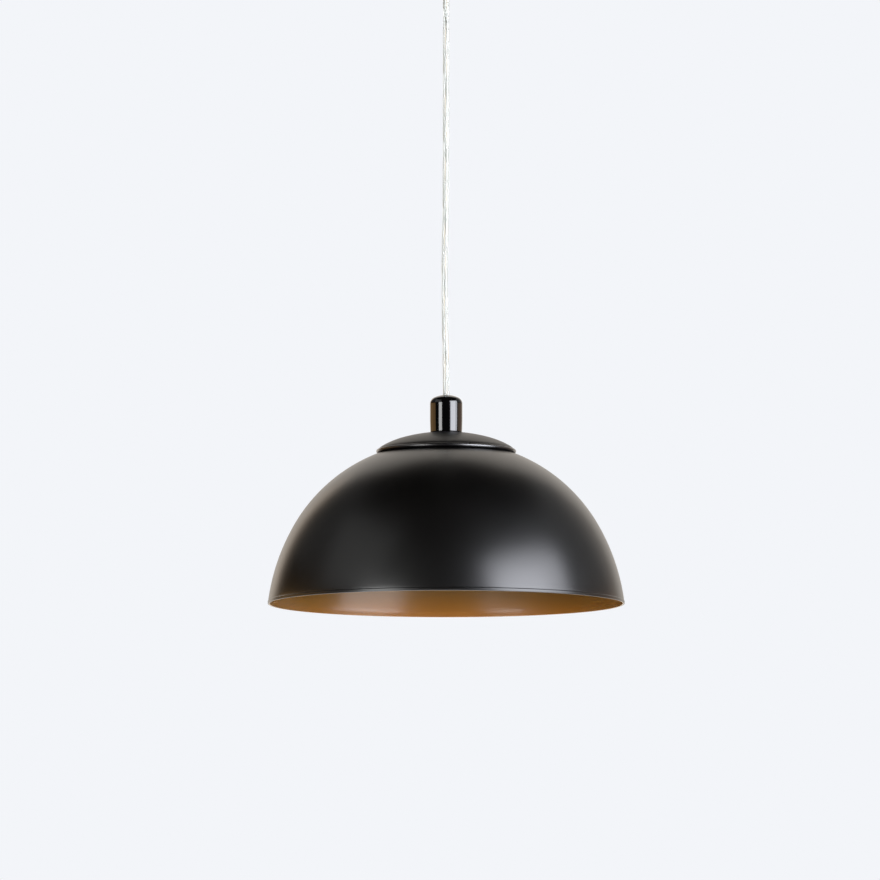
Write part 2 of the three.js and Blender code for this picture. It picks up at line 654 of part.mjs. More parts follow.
function holderInsert() {
  const screwHoleR = TERMINAL_SCREW_D / 2 + CLEARANCE;
  const holes = [-TERMINAL_X, TERMINAL_X].map((x) => rod(screwHoleR,
    INSERT_TOP - TERMINAL_SCREW_GRIP - CLEARANCE, INSERT_TOP + 1, ROUND_TINY).translate(x, 0, 0));
  const rivetHoles = [-RIVET_Y, RIVET_Y].map((y) => rod(RIVET_D / 2 + CLEARANCE,
    INSERT_FOOT - 1, INSERT_TOP + 1, ROUND_TINY).translate(0, y, 0));
  return cut(rod(SKIRT_BORE_R - CLEARANCE, INSERT_FOOT, INSERT_TOP, ROUND_MEDIUM),
    legSlot(-CENTRE_LEG_X), legSlot(SIDE_LEG_X), ...holes, ...rivetHoles);
}

function screwShell() {
  const boreR = SHELL_BORE / 2;
  const flangeR = SHELL_FLANGE_BORE / 2;
  const body = revolve([
    [flangeR, SHELL_TOP], [SHELL_R, SHELL_TOP], [SHELL_R, SHELL_FOOT], [boreR, SHELL_FOOT],
    [boreR, SHELL_TOP - SHELL_SHEET], [flangeR, SHELL_TOP - SHELL_SHEET],
  ], ROUND_MEDIUM);
  const holes = [-RIVET_Y, RIVET_Y].map((y) => rod(RIVET_D / 2 + CLEARANCE,
    SHELL_TOP - 1, SHELL_TOP + 1, ROUND_TINY).translate(0, y, 0));
  return cut(body, ...holes);
}

// Holds the screw shell's flange against the insert.
function shellRivet(y) {
  const [shankR, headR] = [RIVET_D / 2, RIVET_D * 0.9];
  const top = INSERT_TOP + CLEARANCE;
  const foot = SHELL_TOP - SHELL_SHEET - CLEARANCE;
  return revolve([
    [0, top + RIVET_HEAD_H], [headR, top + RIVET_HEAD_H / 2], [headR, top], [shankR, top],
    [shankR, foot], [headR, foot], [headR, foot - RIVET_HEAD_H / 2], [0, foot - RIVET_HEAD_H],
  ], ROUND_TINY).translate(0, y, 0);
}

function contactHole(x) {
  return rod(TERMINAL_SCREW_D / 2 + CLEARANCE, PAD_TOP - 2, PAD_TOP + 1, ROUND_TINY).translate(x, 0, 0);
}

// Pad on the insert, leg down through it, and a tongue that springs down onto the bulb's tip.
function centreContact() {
  const legOut = -CENTRE_LEG_X - CONTACT_T / 2;
  const legIn = legOut + CONTACT_T;
  const upper = INSERT_FOOT - CLEARANCE;
  const tip = BULB_TIP_D / 3;
  const strip = acrossY(polygon([
    [-CONTACT_PAD_X, PAD_TOP - CONTACT_T], [-CONTACT_PAD_X, PAD_TOP], [legIn, PAD_TOP],
    [legIn, upper], [-tip, upper - CONTACT_DROP], [tip, upper - CONTACT_DROP],
    [tip, TONGUE_UNDER], [-tip - CONTACT_T / 2, TONGUE_UNDER], [legOut, upper - CONTACT_T],
    [legOut, PAD_TOP - CONTACT_T],
  ]), CONTACT_W);
  return cut(strip, contactHole(-TERMINAL_X));
}

// Pad on the insert and a leg that ends on the screw shell's flange.
function sideContact() {
  const [legIn, legOut] = [SIDE_LEG_X - CONTACT_T / 2, SIDE_LEG_X + CONTACT_T / 2];
  const strip = acrossY(polygon([
    [CONTACT_PAD_X, PAD_TOP - CONTACT_T], [CONTACT_PAD_X, PAD_TOP], [legIn, PAD_TOP],
    [legIn, INSERT_FOOT], [legOut, INSERT_FOOT], [legOut, PAD_TOP - CONTACT_T],
  ]), CONTACT_W);
  return cut(strip, contactHole(TERMINAL_X));
}

function holderTerminalScrew(x) {
  const tip = INSERT_TOP - TERMINAL_SCREW_GRIP;
  const underHead = PAD_TOP + CORE_D + 2 * CLEARANCE;
  return screw(TERMINAL_SCREW_D, underHead - tip).translate(x, 0, tip);
}

place(lamp, 'holder_dome', holderDome(), blackPlastic());
place(lamp, 'holder_grub_screw', alongX(grubScrew(GRUB_D, HOLDER_BOSS_D / 2 - NIPPLE_HOLE_R + 1))
  .translate(NIPPLE_HOLE_R, 0, BOSS_FOOT + HOLDER_BOSS_H / 2), zincSteel());
place(lamp, 'holder_skirt', holderSkirt(), blackPlastic());
place(lamp, 'holder_insert', holderInsert(), porcelain());
place(lamp, 'screw_shell', screwShell(), brass());
place(lamp, 'shell_rivet_front', shellRivet(-RIVET_Y), brass());
place(lamp, 'shell_rivet_back', shellRivet(RIVET_Y), brass());
place(lamp, 'centre_contact', centreContact(), brass());
place(lamp, 'side_contact', sideContact(), brass());
place(lamp, 'holder_screw_live', holderTerminalScrew(-TERMINAL_X), zincSteel());
place(lamp, 'holder_screw_neutral', holderTerminalScrew(TERMINAL_X), zincSteel());

// ---------------------------------------------------------------- bulb

function bulbCap() {
  const [outerR, boreR] = [BULB_CAP_D / 2, BULB_CAP_D / 2 - BULB_CAP_SHEET];
  const shoulder = BULB_CAP_TOP - BULB_CAP_SHOULDER;
  return revolve([
    [boreR - BULB_CAP_SHOULDER, BULB_CAP_TOP], [outerR - BULB_CAP_SHOULDER, BULB_CAP_TOP],
    [outerR, shoulder], [outerR, BULB_CAP_FOOT], [boreR, BULB_CAP_FOOT], [boreR, shoulder],
  ], ROUND_MEDIUM);
}

// The collar swells from the cap to the globe, at a depth inside its outer face.
function collarCurve(depth) {
  const topR = BULB_CAP_D / 2 + CLEARANCE - depth;
  const footR = GLOBE_SEAT_R - depth;
  return Array.from({ length: 5 }, (_, i) => {
    const along = i / 4;
    const swell = topR + (footR - topR) * Math.sin((along * Math.PI) / 2) ** 1.2;
    return [swell, COLLAR_TOP - BULB_COLLAR_H * along];
  });
}

function bulbGlobe() {
  const centre = { r: 0, up: GLOBE_CENTRE };
  const outer = arc(centre, GLOBE_D / 2, -90, GLOBE_SEAT_ANGLE, 9);
  const inner = arc(centre, GLOBE_D / 2 - GLOBE_WALL, GLOBE_SEAT_ANGLE, -90, 7);
  const onAxis = ([, z]) => [0, z];
  return revolve([onAxis(outer[0]), ...outer.slice(1), ...inner.slice(0, -1), onAxis(inner[7])],
    ROUND_MEDIUM);
}

place(lamp, 'bulb_tip', revolve([
  [0, BULB_TOP], [BULB_TIP_D / 3, BULB_TOP], [BULB_TIP_D / 2, BULB_TOP - BULB_TIP_H / 2],
  [BULB_TIP_D / 2, BULB_TOP - BULB_TIP_H], [0, BULB_TOP - BULB_TIP_H],
], ROUND_SMALL), zincSteel());
place(lamp, 'bulb_insulator', revolve([
  [0, INSULATOR_TOP], [BULB_TIP_D / 2, INSULATOR_TOP],
  [BULB_CAP_D / 2 - BULB_CAP_SHOULDER, INSULATOR_TOP - BULB_INSULATOR_H],
  [0, INSULATOR_TOP - BULB_INSULATOR_H],
]), glossBlack());
place(lamp, 'bulb_cap', bulbCap(), nickel());
place(lamp, 'bulb_collar', revolve(
  [...collarCurve(0), ...collarCurve(BULB_COLLAR_WALL).reverse()], ROUND_MEDIUM), whiteNylon());
place(lamp, 'bulb_board', rod(GLOBE_SEAT_R - BULB_COLLAR_WALL - 2 * CLEARANCE,
  COLLAR_FOOT + CLEARANCE, COLLAR_FOOT + CLEARANCE + BOARD_T), porcelain());
place(lamp, 'bulb_globe', bulbGlobe(), opalGlass());

// ---------------------------------------------------------------- ceiling bracket and canopy

function slotCutter(x) {
  const reach = (SLOT_L - SLOT_W) / 2;
  const outline = new THREE.Shape();
  outline.absarc(x + reach, 0, SLOT_W / 2, -Math.PI / 2, Math.PI / 2);
  outline.absarc(x - reach, 0, SLOT_W / 2, Math.PI / 2, (3 * Math.PI) / 2);
  return plate(outline, -BRACKET_T - 1, 1);
}

function bracketHole(diameter, x, y) {
  return rod(diameter / 2, -BRACKET_T - 1, 1).translate(x, y, 0);
}

// A strip whose two ends are bent down into tapped ears.
function ceilingBracket() {
  const outerBend = BRACKET_BEND_R + BRACKET_T;
  const inX = EAR_X - BRACKET_T;
  const outline = new THREE.Shape();
  outline.moveTo(-EAR_X, -EAR_H);
  outline.lineTo(-inX, -EAR_H);
  outline.absarc(-inX + BRACKET_BEND_R, -outerBend, BRACKET_BEND_R, Math.PI, Math.PI / 2, true);
  outline.absarc(inX - BRACKET_BEND_R, -outerBend, BRACKET_BEND_R, Math.PI / 2, 0, true);
  outline.lineTo(inX, -EAR_H);
  outline.lineTo(EAR_X, -EAR_H);
  outline.absarc(EAR_X - outerBend, -outerBend, outerBend, 0, Math.PI / 2, false);
  outline.absarc(-EAR_X + outerBend, -outerBend, outerBend, Math.PI / 2, Math.PI, false);
  const earHole = alongX(rod(EAR_SCREW_D / 2 + CLEARANCE, -EAR_X - 1, EAR_X + 1, ROUND_TINY))
    .translate(0, 0, -EAR_SCREW_DOWN);
  return cut(acrossY(outline, BRACKET_W),
    slotCutter(-SLOT_X), slotCutter(SLOT_X), earHole,
    bracketHole(CABLE_HOLE_D, CABLE_HOLE_X, 0),
    bracketHole(POLE_SCREW_D + 2 * CLEARANCE, BLOCK_X, FIXING_Y),
    bracketHole(EARTH_SCREW_D + 2 * CLEARANCE, EARTH_SCREW_X, EARTH_SCREW_Y));
}

function canopy() {
  const outerR = CANOPY_D / 2;
  const corner = { r: outerR - CANOPY_EDGE_R, up: CANOPY_FLOOR + CANOPY_EDGE_R };
  const cup = revolve([
    [NIPPLE_HOLE_R, CANOPY_FLOOR],
    ...arc(corner, CANOPY_EDGE_R, -90, 0, 3),
    [outerR, 0], [outerR - CANOPY_SHEET, 0],
    ...arc(corner, CANOPY_EDGE_R - CANOPY_SHEET, 0, -90, 3),
    [NIPPLE_HOLE_R, CANOPY_FLOOR + CANOPY_SHEET],
  ], ROUND_LARGE);
  const hole = alongX(rod(EAR_SCREW_D / 2 + CLEARANCE, -outerR - 1, outerR + 1, ROUND_TINY))
    .translate(0, 0, -EAR_SCREW_DOWN);
  return cut(cup, hole);
}

// A knurled screw through the canopy's side into the bracket's ear.
function canopyScrew(side) {
  const [shankR, knobR] = [EAR_SCREW_D / 2, KNOB_D / 2];
  const tip = EAR_X - BRACKET_T - 1;
  const underHead = CANOPY_D / 2 + CLEARANCE;
  const shape = revolve([
    [0, tip], [shankR, tip], [shankR, underHead], [knobR, underHead],
    [knobR, underHead + KNOB_H - 0.8], [knobR - 0.8, underHead + KNOB_H], [0, underHead + KNOB_H],
  ], ROUND_TINY);
  return alongX(shape).rotateZ(side > 0 ? 0 : Math.PI).translate(0, 0, -EAR_SCREW_DOWN);
}

place(pendant, 'ceiling_bracket', ceilingBracket(), zincSteel());
place(pendant, 'canopy', canopy(), satinBlack());
place(pendant, 'canopy_screw_left', canopyScrew(-1), glossBlack());
place(pendant, 'canopy_screw_right', canopyScrew(1), glossBlack());

// ---------------------------------------------------------------- gland under the canopy

const GLAND_SCREW_Z = (FLANGE_TOP + FLANGE_FOOT) / 2;

function glandBody() {
  const flangeR = GLAND_FLANGE_D / 2;
  const noseR = GLAND_NOSE_D / 2;
  const stemR = NIPPLE_D / 2;
  const body = revolve([
    [CORD_HOLE_R, STEM_TOP], [stemR, STEM_TOP], [stemR, FLANGE_TOP], [flangeR, FLANGE_TOP],
    [flangeR, FLANGE_FOOT], [GLAND_NOSE_TOP_D / 2, FLANGE_FOOT],
    ...arc({ r: noseR - 1, up: SWING_X_Z + 1 }, 1, 15, -90, 3),
    [CORD_R + MOUTH_FLARE, SWING_X_Z], [CORD_HOLE_R, SWING_X_Z + 2 * MOUTH_FLARE],
  ], ROUND_SMALL);
  const hole = alongX(rod(GRUB_D / 2 + CLEARANCE, 0, flangeR + 1, ROUND_TINY))
    .translate(0, 0, GLAND_SCREW_Z);
  return cut(body, hole);
}

place(pendant, 'gland_body', glandBody(), blackPlastic());
place(pendant, 'gland_screw', alongX(grubScrew(GRUB_D, GLAND_FLANGE_D / 2 - CORD_HOLE_R))
  .translate(CORD_HOLE_R, 0, GLAND_SCREW_Z), whiteNylon());
place(pendant, 'gland_washer', toothedWasher(CANOPY_FLOOR + CANOPY_SHEET + CLEARANCE), zincSteel());
place(pendant, 'gland_nut',
  hexNut(CANOPY_FLOOR + CANOPY_SHEET + WASHER_T + 2 * CLEARANCE), zincSteel());

// ---------------------------------------------------------------- terminal block

const poleY = (index) => (index - (POLES.length - 1) / 2) * POLE_PITCH;
const poleScrewX = [BLOCK_X - POLE_SCREW_SPACING / 2, BLOCK_X + POLE_SCREW_SPACING / 2];
const POLE_SCREW_TIP = FERRULE_Z - CORE_R - CLEARANCE;
const TOWER_FOOT = BLOCK_TOP - TOWER_H;
const POLE_SCREW_SHANK = FERRULE_D / 2 - CORE_R + CLEARANCE;
const FIXING_UNDER_WEB = BLOCK_TOP - WEB_H - CLEARANCE;

// One tower for each pole, joined by low webs.
function terminalHousing() {
  const outline = [];
  POLES.forEach((_, i) => {
    const [y0, y1] = [poleY(i) - TOWER_W / 2, poleY(i) + TOWER_W / 2];
    if (i > 0) outline.push([y0, BLOCK_TOP - WEB_H]);
    outline.push([y0, TOWER_FOOT], [y1, TOWER_FOOT]);
    if (i < POLES.length - 1) outline.push([y1, BLOCK_TOP - WEB_H]);
  });
  const halfWidth = poleY(POLES.length - 1) + TOWER_W / 2;
  outline.push([halfWidth, BLOCK_TOP], [-halfWidth, BLOCK_TOP]);
  const [x0, x1] = [BLOCK_X - BLOCK_L / 2, BLOCK_X + BLOCK_L / 2];
  const holes = POLES.flatMap((_, i) => [
    alongX(rod(FERRULE_D / 2 + CLEARANCE, x0 - 1, x1 + 1, ROUND_TINY)).translate(0, poleY(i), FERRULE_Z),
    ...poleScrewX.map((x) => rod(POLE_SCREW_HEAD_D / 2 + CLEARANCE, TOWER_FOOT - 1, FERRULE_Z, ROUND_TINY)
      .translate(x, poleY(i), 0)),
  ]);
  const fixing = rod(POLE_SCREW_D / 2 + CLEARANCE, TOWER_FOOT, 0, ROUND_TINY)
    .translate(BLOCK_X, FIXING_Y, 0);
  return cut(acrossX(polygon(outline), x0, x1), ...holes, fixing);
}

function ferrule(index) {
  const [x0, x1] = [BLOCK_X - BLOCK_L / 2, BLOCK_X + BLOCK_L / 2];
  const sleeve = alongX(ring(FERRULE_BORE / 2, FERRULE_D / 2, x0, x1, ROUND_TINY));
  const holes = poleScrewX.map((x) => rod(POLE_SCREW_D / 2 + CLEARANCE, -FERRULE_D, 0, ROUND_TINY)
    .translate(x, 0, 0));
  return cut(sleeve, ...holes).translate(0, poleY(index), FERRULE_Z);
}

// A screw that points up, with its tip at the given height and its head below.
function screwUp(tipZ, ...sizes) {
  return screw(...sizes).rotateX(Math.PI).translate(0, 0, tipZ);
}

place(pendant, 'terminal_housing', terminalHousing(), whiteNylon());
POLES.forEach((pole, i) => {
  place(pendant, `terminal_ferrule_${pole}`, ferrule(i), brass());
  poleScrewX.forEach((x, end) => {
    const headH = POLE_SCREW_TIP - POLE_SCREW_SHANK - TOWER_FOOT;
    const shape = screwUp(POLE_SCREW_TIP, POLE_SCREW_D, POLE_SCREW_SHANK, POLE_SCREW_HEAD_D, headH);
    place(pendant, `terminal_screw_${pole}_${['supply', 'lamp'][end]}`,
      shape.translate(x, poleY(i), 0), zincSteel());
  });
});
place(pendant, 'terminal_fixing_screw', screwUp(-CLEARANCE, POLE_SCREW_D,
  -CLEARANCE - FIXING_UNDER_WEB, FIXING_HEAD_D).translate(BLOCK_X, FIXING_Y, 0), zincSteel());

// ---------------------------------------------------------------- earth tags and screw

// A ring tag: flat ring, neck and crimped barrel. The ring lies at height 0 to TAG_T about the
// axis, and the neck reaches along -Y to the barrel, which runs on along the given direction.
function ringTag(holeR, ringR, neck, barrel) {
  return cut(join(rod(ringR, 0, TAG_T), neck, barrel), rod(holeR, -1, TAG_T + 1));
}

const BARREL_R = TAG_BARREL_D / 2;
const UPPER_BARREL_Y = EARTH_SCREW_Y - TAG_D / 2;
const LOWER_RING_R = TAG_D / 2 + NIPPLE_D / 2;
const LOWER_BARREL_Y = LOWER_RING_R + BARREL_R + 1;

function upperTag() {
  const neck = block(-BARREL_R, BARREL_R, -TAG_D / 2 - TAG_BARREL_L, 0, 0, TAG_T);
  const barrel = rod(BARREL_R, 0, TAG_BARREL_L, ROUND_TINY).rotateX(Math.PI / 2)
    .translate(0, -TAG_D / 2, TAG_T - BARREL_R);
  return ringTag(EARTH_SCREW_D / 2 + CLEARANCE, TAG_D / 2, neck, barrel)
    .translate(EARTH_SCREW_X, EARTH_SCREW_Y, UPPER_TAG_Z);
}

function lowerTag() {
  const neck = block(-BARREL_R, BARREL_R, 0, LOWER_BARREL_Y + BARREL_R, 0, TAG_T);
  const barrel = rod(BARREL_R, TAG_T - TAG_BARREL_L, TAG_T, ROUND_TINY)
    .translate(0, LOWER_BARREL_Y, 0);
  return ringTag(NIPPLE_HOLE_R, LOWER_RING_R, neck, barrel).translate(0, 0, LOWER_TAG_TOP - TAG_T);
}

place(pendant, 'earth_tag_upper', upperTag(), nickel());
place(pendant, 'earth_screw', screwUp(-CLEARANCE, EARTH_SCREW_D, -UPPER_TAG_Z)
  .translate(EARTH_SCREW_X, EARTH_SCREW_Y, 0), brass());
place(lamp, 'earth_tag_lower', lowerTag(), nickel());

// ---------------------------------------------------------------- cord and conductors

const ROUND_END = { r: 0, up: 0 };

// The clamped stretch in the gland, then a short link, then the free cord. Each free stretch
// starts in a round end at its swing axis, so it can tilt without meeting the stretch above.
function cordEntry() {
  return rod(CORD_R, SWING_X_Z + CORD_R + CLEARANCE, SHEATH_TOP, CORD_SIDES);
}

function cordLink() {
  const foot = SWING_Y_Z + CORD_R + CLEARANCE - SWING_X_Z;
  return revolve([[0, foot], [CORD_R, foot], ...arc(ROUND_END, CORD_R, 0, 90, 3).slice(0, -1), [0, CORD_R]],
    CORD_SIDES).translate(0, 0, SWING_X_Z);
}

function freeCord() {
  const foot = -DROP + GRIP_TOP + CLEARANCE;
  const points = CORD_BOW.map(([share, x]) => [x, 0, SWING_Y_Z + (foot - SWING_Y_Z) * share]);
  const end = revolve([[0, -CORD_R], [CORD_R, -CORD_R], ...arc(ROUND_END, CORD_R, 0, 90, 3).slice(0, -1),
    [0, CORD_R]], CORD_SIDES).translate(0, 0, SWING_Y_Z);
  return join(wire(points, CORD_R, CORD_SIDES, 3), end);
}

place(pendant, 'cord_entry', cordEntry(), clearPvc());
place(pendant, 'cord_link', cordLink(), clearPvc());
place(pendant, 'cord', freeCord(), clearPvc());
place(lamp, 'cord_tail', rod(CORD_R, SHEATH_FOOT, GRIP_TOP, CORD_SIDES), clearPvc());

// Each conductor leaves the sheath at its own angle and bends to its terminal.
const coreStart = (degrees, z) => [CORE_SPREAD * cos(degrees), CORE_SPREAD * sin(degrees), z];

function upperCore(pole) {
  const y = poleY(POLES.indexOf(pole));
  const side = Math.sign(y);
  const start = coreStart(180 - 120 * side, SHEATH_TOP + CLEARANCE);
  const mouth = BLOCK_X + BLOCK_L / 2;
  const rise = FERRULE_Z - start[2];
  return wire([
    start,
    [start[0], start[1] * 1.15, start[2] + rise * 0.3],
    [start[0] - 2, start[1] + side * 2, start[2] + rise * 0.65],
    [mouth / 2 + 1, y * 0.7, FERRULE_Z - rise * 0.06],
    [mouth + 1.5, y, FERRULE_Z],
    [mouth - 2, y, FERRULE_Z],
    [BLOCK_X + CORE_R + CLEARANCE, y, FERRULE_Z],
  ], CORE_R, CORE_SIDES, 1.3);
}

// Earth link from the bracket's tag round to the supply side of the earth pole.
function earthLink() {
  const y = poleY(POLES.indexOf('earth'));
  const [x0, barrelEnd] = [EARTH_SCREW_X, UPPER_BARREL_Y - TAG_BARREL_L];
  const barrelZ = UPPER_TAG_Z + TAG_T - BARREL_R;
  const outside = BLOCK_X - BLOCK_L / 2;
  const wide = y - POLE_PITCH;
  return wire([
    [x0, barrelEnd - CLEARANCE, barrelZ],
    [x0 - 0.5, barrelEnd - 3, barrelZ - 0.5],
    [x0 - 5, wide, (barrelZ + FERRULE_Z) / 2],
    [x0 / 3, wide - 4, FERRULE_Z],
    [outside / 2, wide - 4, FERRULE_Z],
    [outside - 3, wide, FERRULE_Z],
    [outside - 8, y - 5, FERRULE_Z],
    [outside - 5.5, y - 0.6, FERRULE_Z],
    [outside - 1, y, FERRULE_Z],
    [BLOCK_X - CORE_R - CLEARANCE, y, FERRULE_Z],
  ], CORE_R, CORE_SIDES, 2);
}

// The live and neutral conductors end beside their screws, under the heads.
function lowerCore(side) {
  const start = coreStart(side > 0 ? -30 : 210, SHEATH_FOOT - CLEARANCE);
  const endY = -(TERMINAL_SCREW_D / 2 + CORE_R + CLEARANCE);
  const endZ = PAD_TOP + CLEARANCE + CORE_R;
  return wire([
    start,
    [start[0], start[1], start[2] - 1.5],
    [start[0] + side * 2, start[1] - 1, (start[2] + endZ) / 2],
    [side * (TERMINAL_X - 4), endY, endZ],
    [side * (TERMINAL_X + 1), endY, endZ],
  ], CORE_R, CORE_SIDES, 1.3);
}

function lowerEarthCore() {
  const start = coreStart(90, SHEATH_FOOT - CLEARANCE);
  const barrelFoot = LOWER_TAG_TOP - TAG_BARREL_L;
  const low = PAD_TOP + CORE_D;
  return wire([
    start,
    [0, start[1] + 0.3, start[2] - 1.5],
    [0, start[1] + 3.5, low + 0.6],
    [0, LOWER_BARREL_Y - 3.5, low + 0.6],
    [0, LOWER_BARREL_Y, barrelFoot - 2.5],
    [0, LOWER_BARREL_Y, barrelFoot - CLEARANCE],
  ], CORE_R, CORE_SIDES, 1.3);
}

for (const pole of POLES) place(pendant, `core_${pole}_upper`, upperCore(pole), coreInsulation(pole));
place(pendant, 'earth_link', earthLink(), coreInsulation('earth'));
place(lamp, 'core_live_lower', lowerCore(-1), coreInsulation('live'));
place(lamp, 'core_neutral_lower', lowerCore(1), coreInsulation('neutral'));
place(lamp, 'core_earth_lower', lowerEarthCore(), coreInsulation('earth'));

pendant.name = 'pendant_ceiling_light';
export default pendant;
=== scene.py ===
# Pendant ceiling light: a spun dome shade, satin black outside and bronze lacquer inside, on a clear
# cord from a ceiling canopy, with an E27 lampholder and a golf-ball bulb.
#
# Sections are drawn in millimetres, as (radius, height) with height 0 at the ceiling and below it
# negative, and turned about the Z axis. Meshes are in metres, and every piece is at the origin.

import json
import math

import bmesh
import bpy
from mathutils import Matrix, Vector


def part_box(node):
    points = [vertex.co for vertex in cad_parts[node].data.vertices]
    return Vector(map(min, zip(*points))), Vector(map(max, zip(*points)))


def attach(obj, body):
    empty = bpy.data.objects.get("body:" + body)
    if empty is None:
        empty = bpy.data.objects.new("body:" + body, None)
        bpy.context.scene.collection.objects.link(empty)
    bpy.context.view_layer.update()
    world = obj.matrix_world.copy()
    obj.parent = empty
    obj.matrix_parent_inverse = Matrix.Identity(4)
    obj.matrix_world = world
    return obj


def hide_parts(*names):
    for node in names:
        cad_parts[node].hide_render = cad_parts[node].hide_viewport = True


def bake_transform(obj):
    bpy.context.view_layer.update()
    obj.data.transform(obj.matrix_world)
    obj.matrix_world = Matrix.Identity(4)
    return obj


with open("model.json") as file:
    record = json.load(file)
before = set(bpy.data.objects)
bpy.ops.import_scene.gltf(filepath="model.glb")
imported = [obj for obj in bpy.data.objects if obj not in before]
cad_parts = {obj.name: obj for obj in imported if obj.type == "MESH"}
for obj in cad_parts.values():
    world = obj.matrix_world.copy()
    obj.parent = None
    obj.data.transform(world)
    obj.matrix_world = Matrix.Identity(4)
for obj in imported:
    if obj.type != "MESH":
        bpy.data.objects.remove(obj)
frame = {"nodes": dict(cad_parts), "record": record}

MM = 0.001
scene = bpy.context.scene
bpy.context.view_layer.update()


# ---- places taken from the frame

def low(node, axis=2):
    """A CAD node's lowest place along an axis, in millimetres."""
    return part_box(node)[0][axis] / MM


def high(node, axis=2):
    """A CAD node's highest place along an axis, in millimetres."""
    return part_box(node)[1][axis] / MM


def middle(node, axis=2):
    """A CAD node's middle along an axis, in millimetres."""
    return (low(node, axis) + high(node, axis)) / 2


def joint_height(name):
    """The height of a joint's pivot, in millimetres."""
    for joint in frame["record"]["behaviour"]["joints"]:
        if joint["name"] == name:
            return joint["pos_m"][2] / MM


# ---- camera

CAMERA_PLACE = (-0.0052, -5.0, -0.9514)
CAMERA_PITCH = 5.94
CAMERA_LENS = 243.9


def set_camera():
    """The camera, in front of the lamp and below it, looking up a little."""
    data = bpy.data.cameras.new("view")
    data.lens = CAMERA_LENS
    data.sensor_width = 36
    data.clip_end = 60
    camera = bpy.data.objects.new("view", data)
    camera.location = CAMERA_PLACE
    camera.rotation_euler = (math.radians(90 + CAMERA_PITCH), 0, 0)
    scene.collection.objects.link(camera)
    scene.camera = camera


set_camera()


# ---- colour and node helpers

def linear(colour):
    """An sRGB hex colour as the linear values that the shader takes."""
    channels = [int(colour[i:i + 2], 16) / 255 for i in (1, 3, 5)]
    flat = [c / 12.92 if c <= 0.04045 else ((c + 0.055) / 1.055) ** 2.4 for c in channels]
    return (*flat, 1.0)


def plug(tree, node, inputs):
    """Sets a node's inputs, each to a value, a socket, or the first output of another node."""
    for name, value in inputs.items():
        if isinstance(name, int):
            socket = node.inputs[name]
        else:
            socket = next(s for s in node.inputs if s.name == name and s.enabled)
        if isinstance(value, bpy.types.Node):
            value = next(s for s in value.outputs if s.enabled)
        if isinstance(value, bpy.types.NodeSocket):
            tree.links.new(value, socket)
        else:
            socket.default_value = value


def add(tree, kind, inputs=None, **settings):
    """Adds a node with its settings, and its inputs as plug takes them."""
    node = tree.nodes.new("ShaderNode" + kind)
    for name, value in settings.items():
        setattr(node, name, value)
    plug(tree, node, inputs or {})
    return node


def new_material(name):
    """A new material, its nodes and its Object coordinates."""
    material = bpy.data.materials.new(name)
    material.use_nodes = True
    tree = material.node_tree
    return material, tree, add(tree, "TexCoord").outputs["Object"]


# ---- materials

def surface(tree, inputs, colour, tints, sheen=None, rough=None, relief=None, deep=0):
    """Sets a finish's plain inputs. Then patterns run its colour between two tints, its roughness
    between two values and its relief, so many millimetres deep."""
    dark, light = tints
    inputs["Base Color"] = add(tree, "Mix", {"Factor": colour, "A": linear(dark), "B": linear(light)},
                               data_type="RGBA")
    if sheen:
        inputs["Roughness"] = add(tree, "MapRange", {
            "Value": sheen, "From Min": 0.3, "From Max": 0.7, "To Min": rough[0], "To Max": rough[1]})
    if relief:
        inputs["Normal"] = add(tree, "Bump", {"Height": relief, "Distance": deep * MM})
    plug(tree, tree.nodes["Principled BSDF"], inputs)


def black_coat(name, tints, rough, ior, clouds, peel, deep):
    """A black coat, sprayed and stoved: deep black, faint clouds in its sheen, and a fine orange
    peel that breaks the edges of its reflections. Sizes are in millimetres."""
    material, tree, place = new_material(name)
    cloud = add(tree, "TexNoise", {"Vector": place, "Scale": 1 / (clouds * MM), "Detail": 3})
    skin = add(tree, "TexNoise", {"Vector": place, "Scale": 1 / (peel * MM)})
    surface(tree, {"IOR": ior}, cloud, tints, cloud, rough, skin, deep)
    return material


def bronze_lacquer():
    """Bronze metallic lacquer, sprayed inside the spun dome: a warm metal glow with the fine rings
    that the spinning tool left under the lacquer."""
    material, tree, place = new_material("bronze_lacquer")
    rings = add(tree, "Mapping", {"Vector": place, "Scale": (0.01, 0.01, 1)})
    lines = add(tree, "TexNoise", {"Vector": rings, "Scale": 1 / (0.8 * MM), "Detail": 3,
                                   "Roughness": 0.7})
    flake = add(tree, "TexNoise", {"Vector": place, "Scale": 1 / (0.5 * MM), "Detail": 1})
    cloud = add(tree, "TexNoise", {"Vector": place, "Scale": 1 / (45 * MM), "Detail": 3})
    lacquer = {"Metallic": 0.1, "IOR": 1.45,
               "Coat Weight": 1.0, "Coat Roughness": 0.24, "Coat IOR": 1.6}
    surface(tree, lacquer, cloud, ("#8F6929", "#9E7630"), flake, (0.4, 0.5), lines, 0.03)
    return material


def worked_metal(name, tints, rough, draw, clouds, marks, deep):
    """Bare or plated metal, rolled or drawn: bright and faintly clouded, with fine marks that run
    the way it was worked. Draw is how quickly the marks change along each axis."""
    material, tree, place = new_material(name)
    along = add(tree, "Mapping", {"Vector": place, "Scale": draw})
    cloud = add(tree, "TexNoise", {"Vector": place, "Scale": 1 / (clouds * MM), "Detail": 3})
    lines = add(tree, "TexNoise", {"Vector": along, "Scale": 1 / (marks * MM)})
    surface(tree, {"Metallic": 1.0}, cloud, tints, lines, rough, lines, deep)
    return material


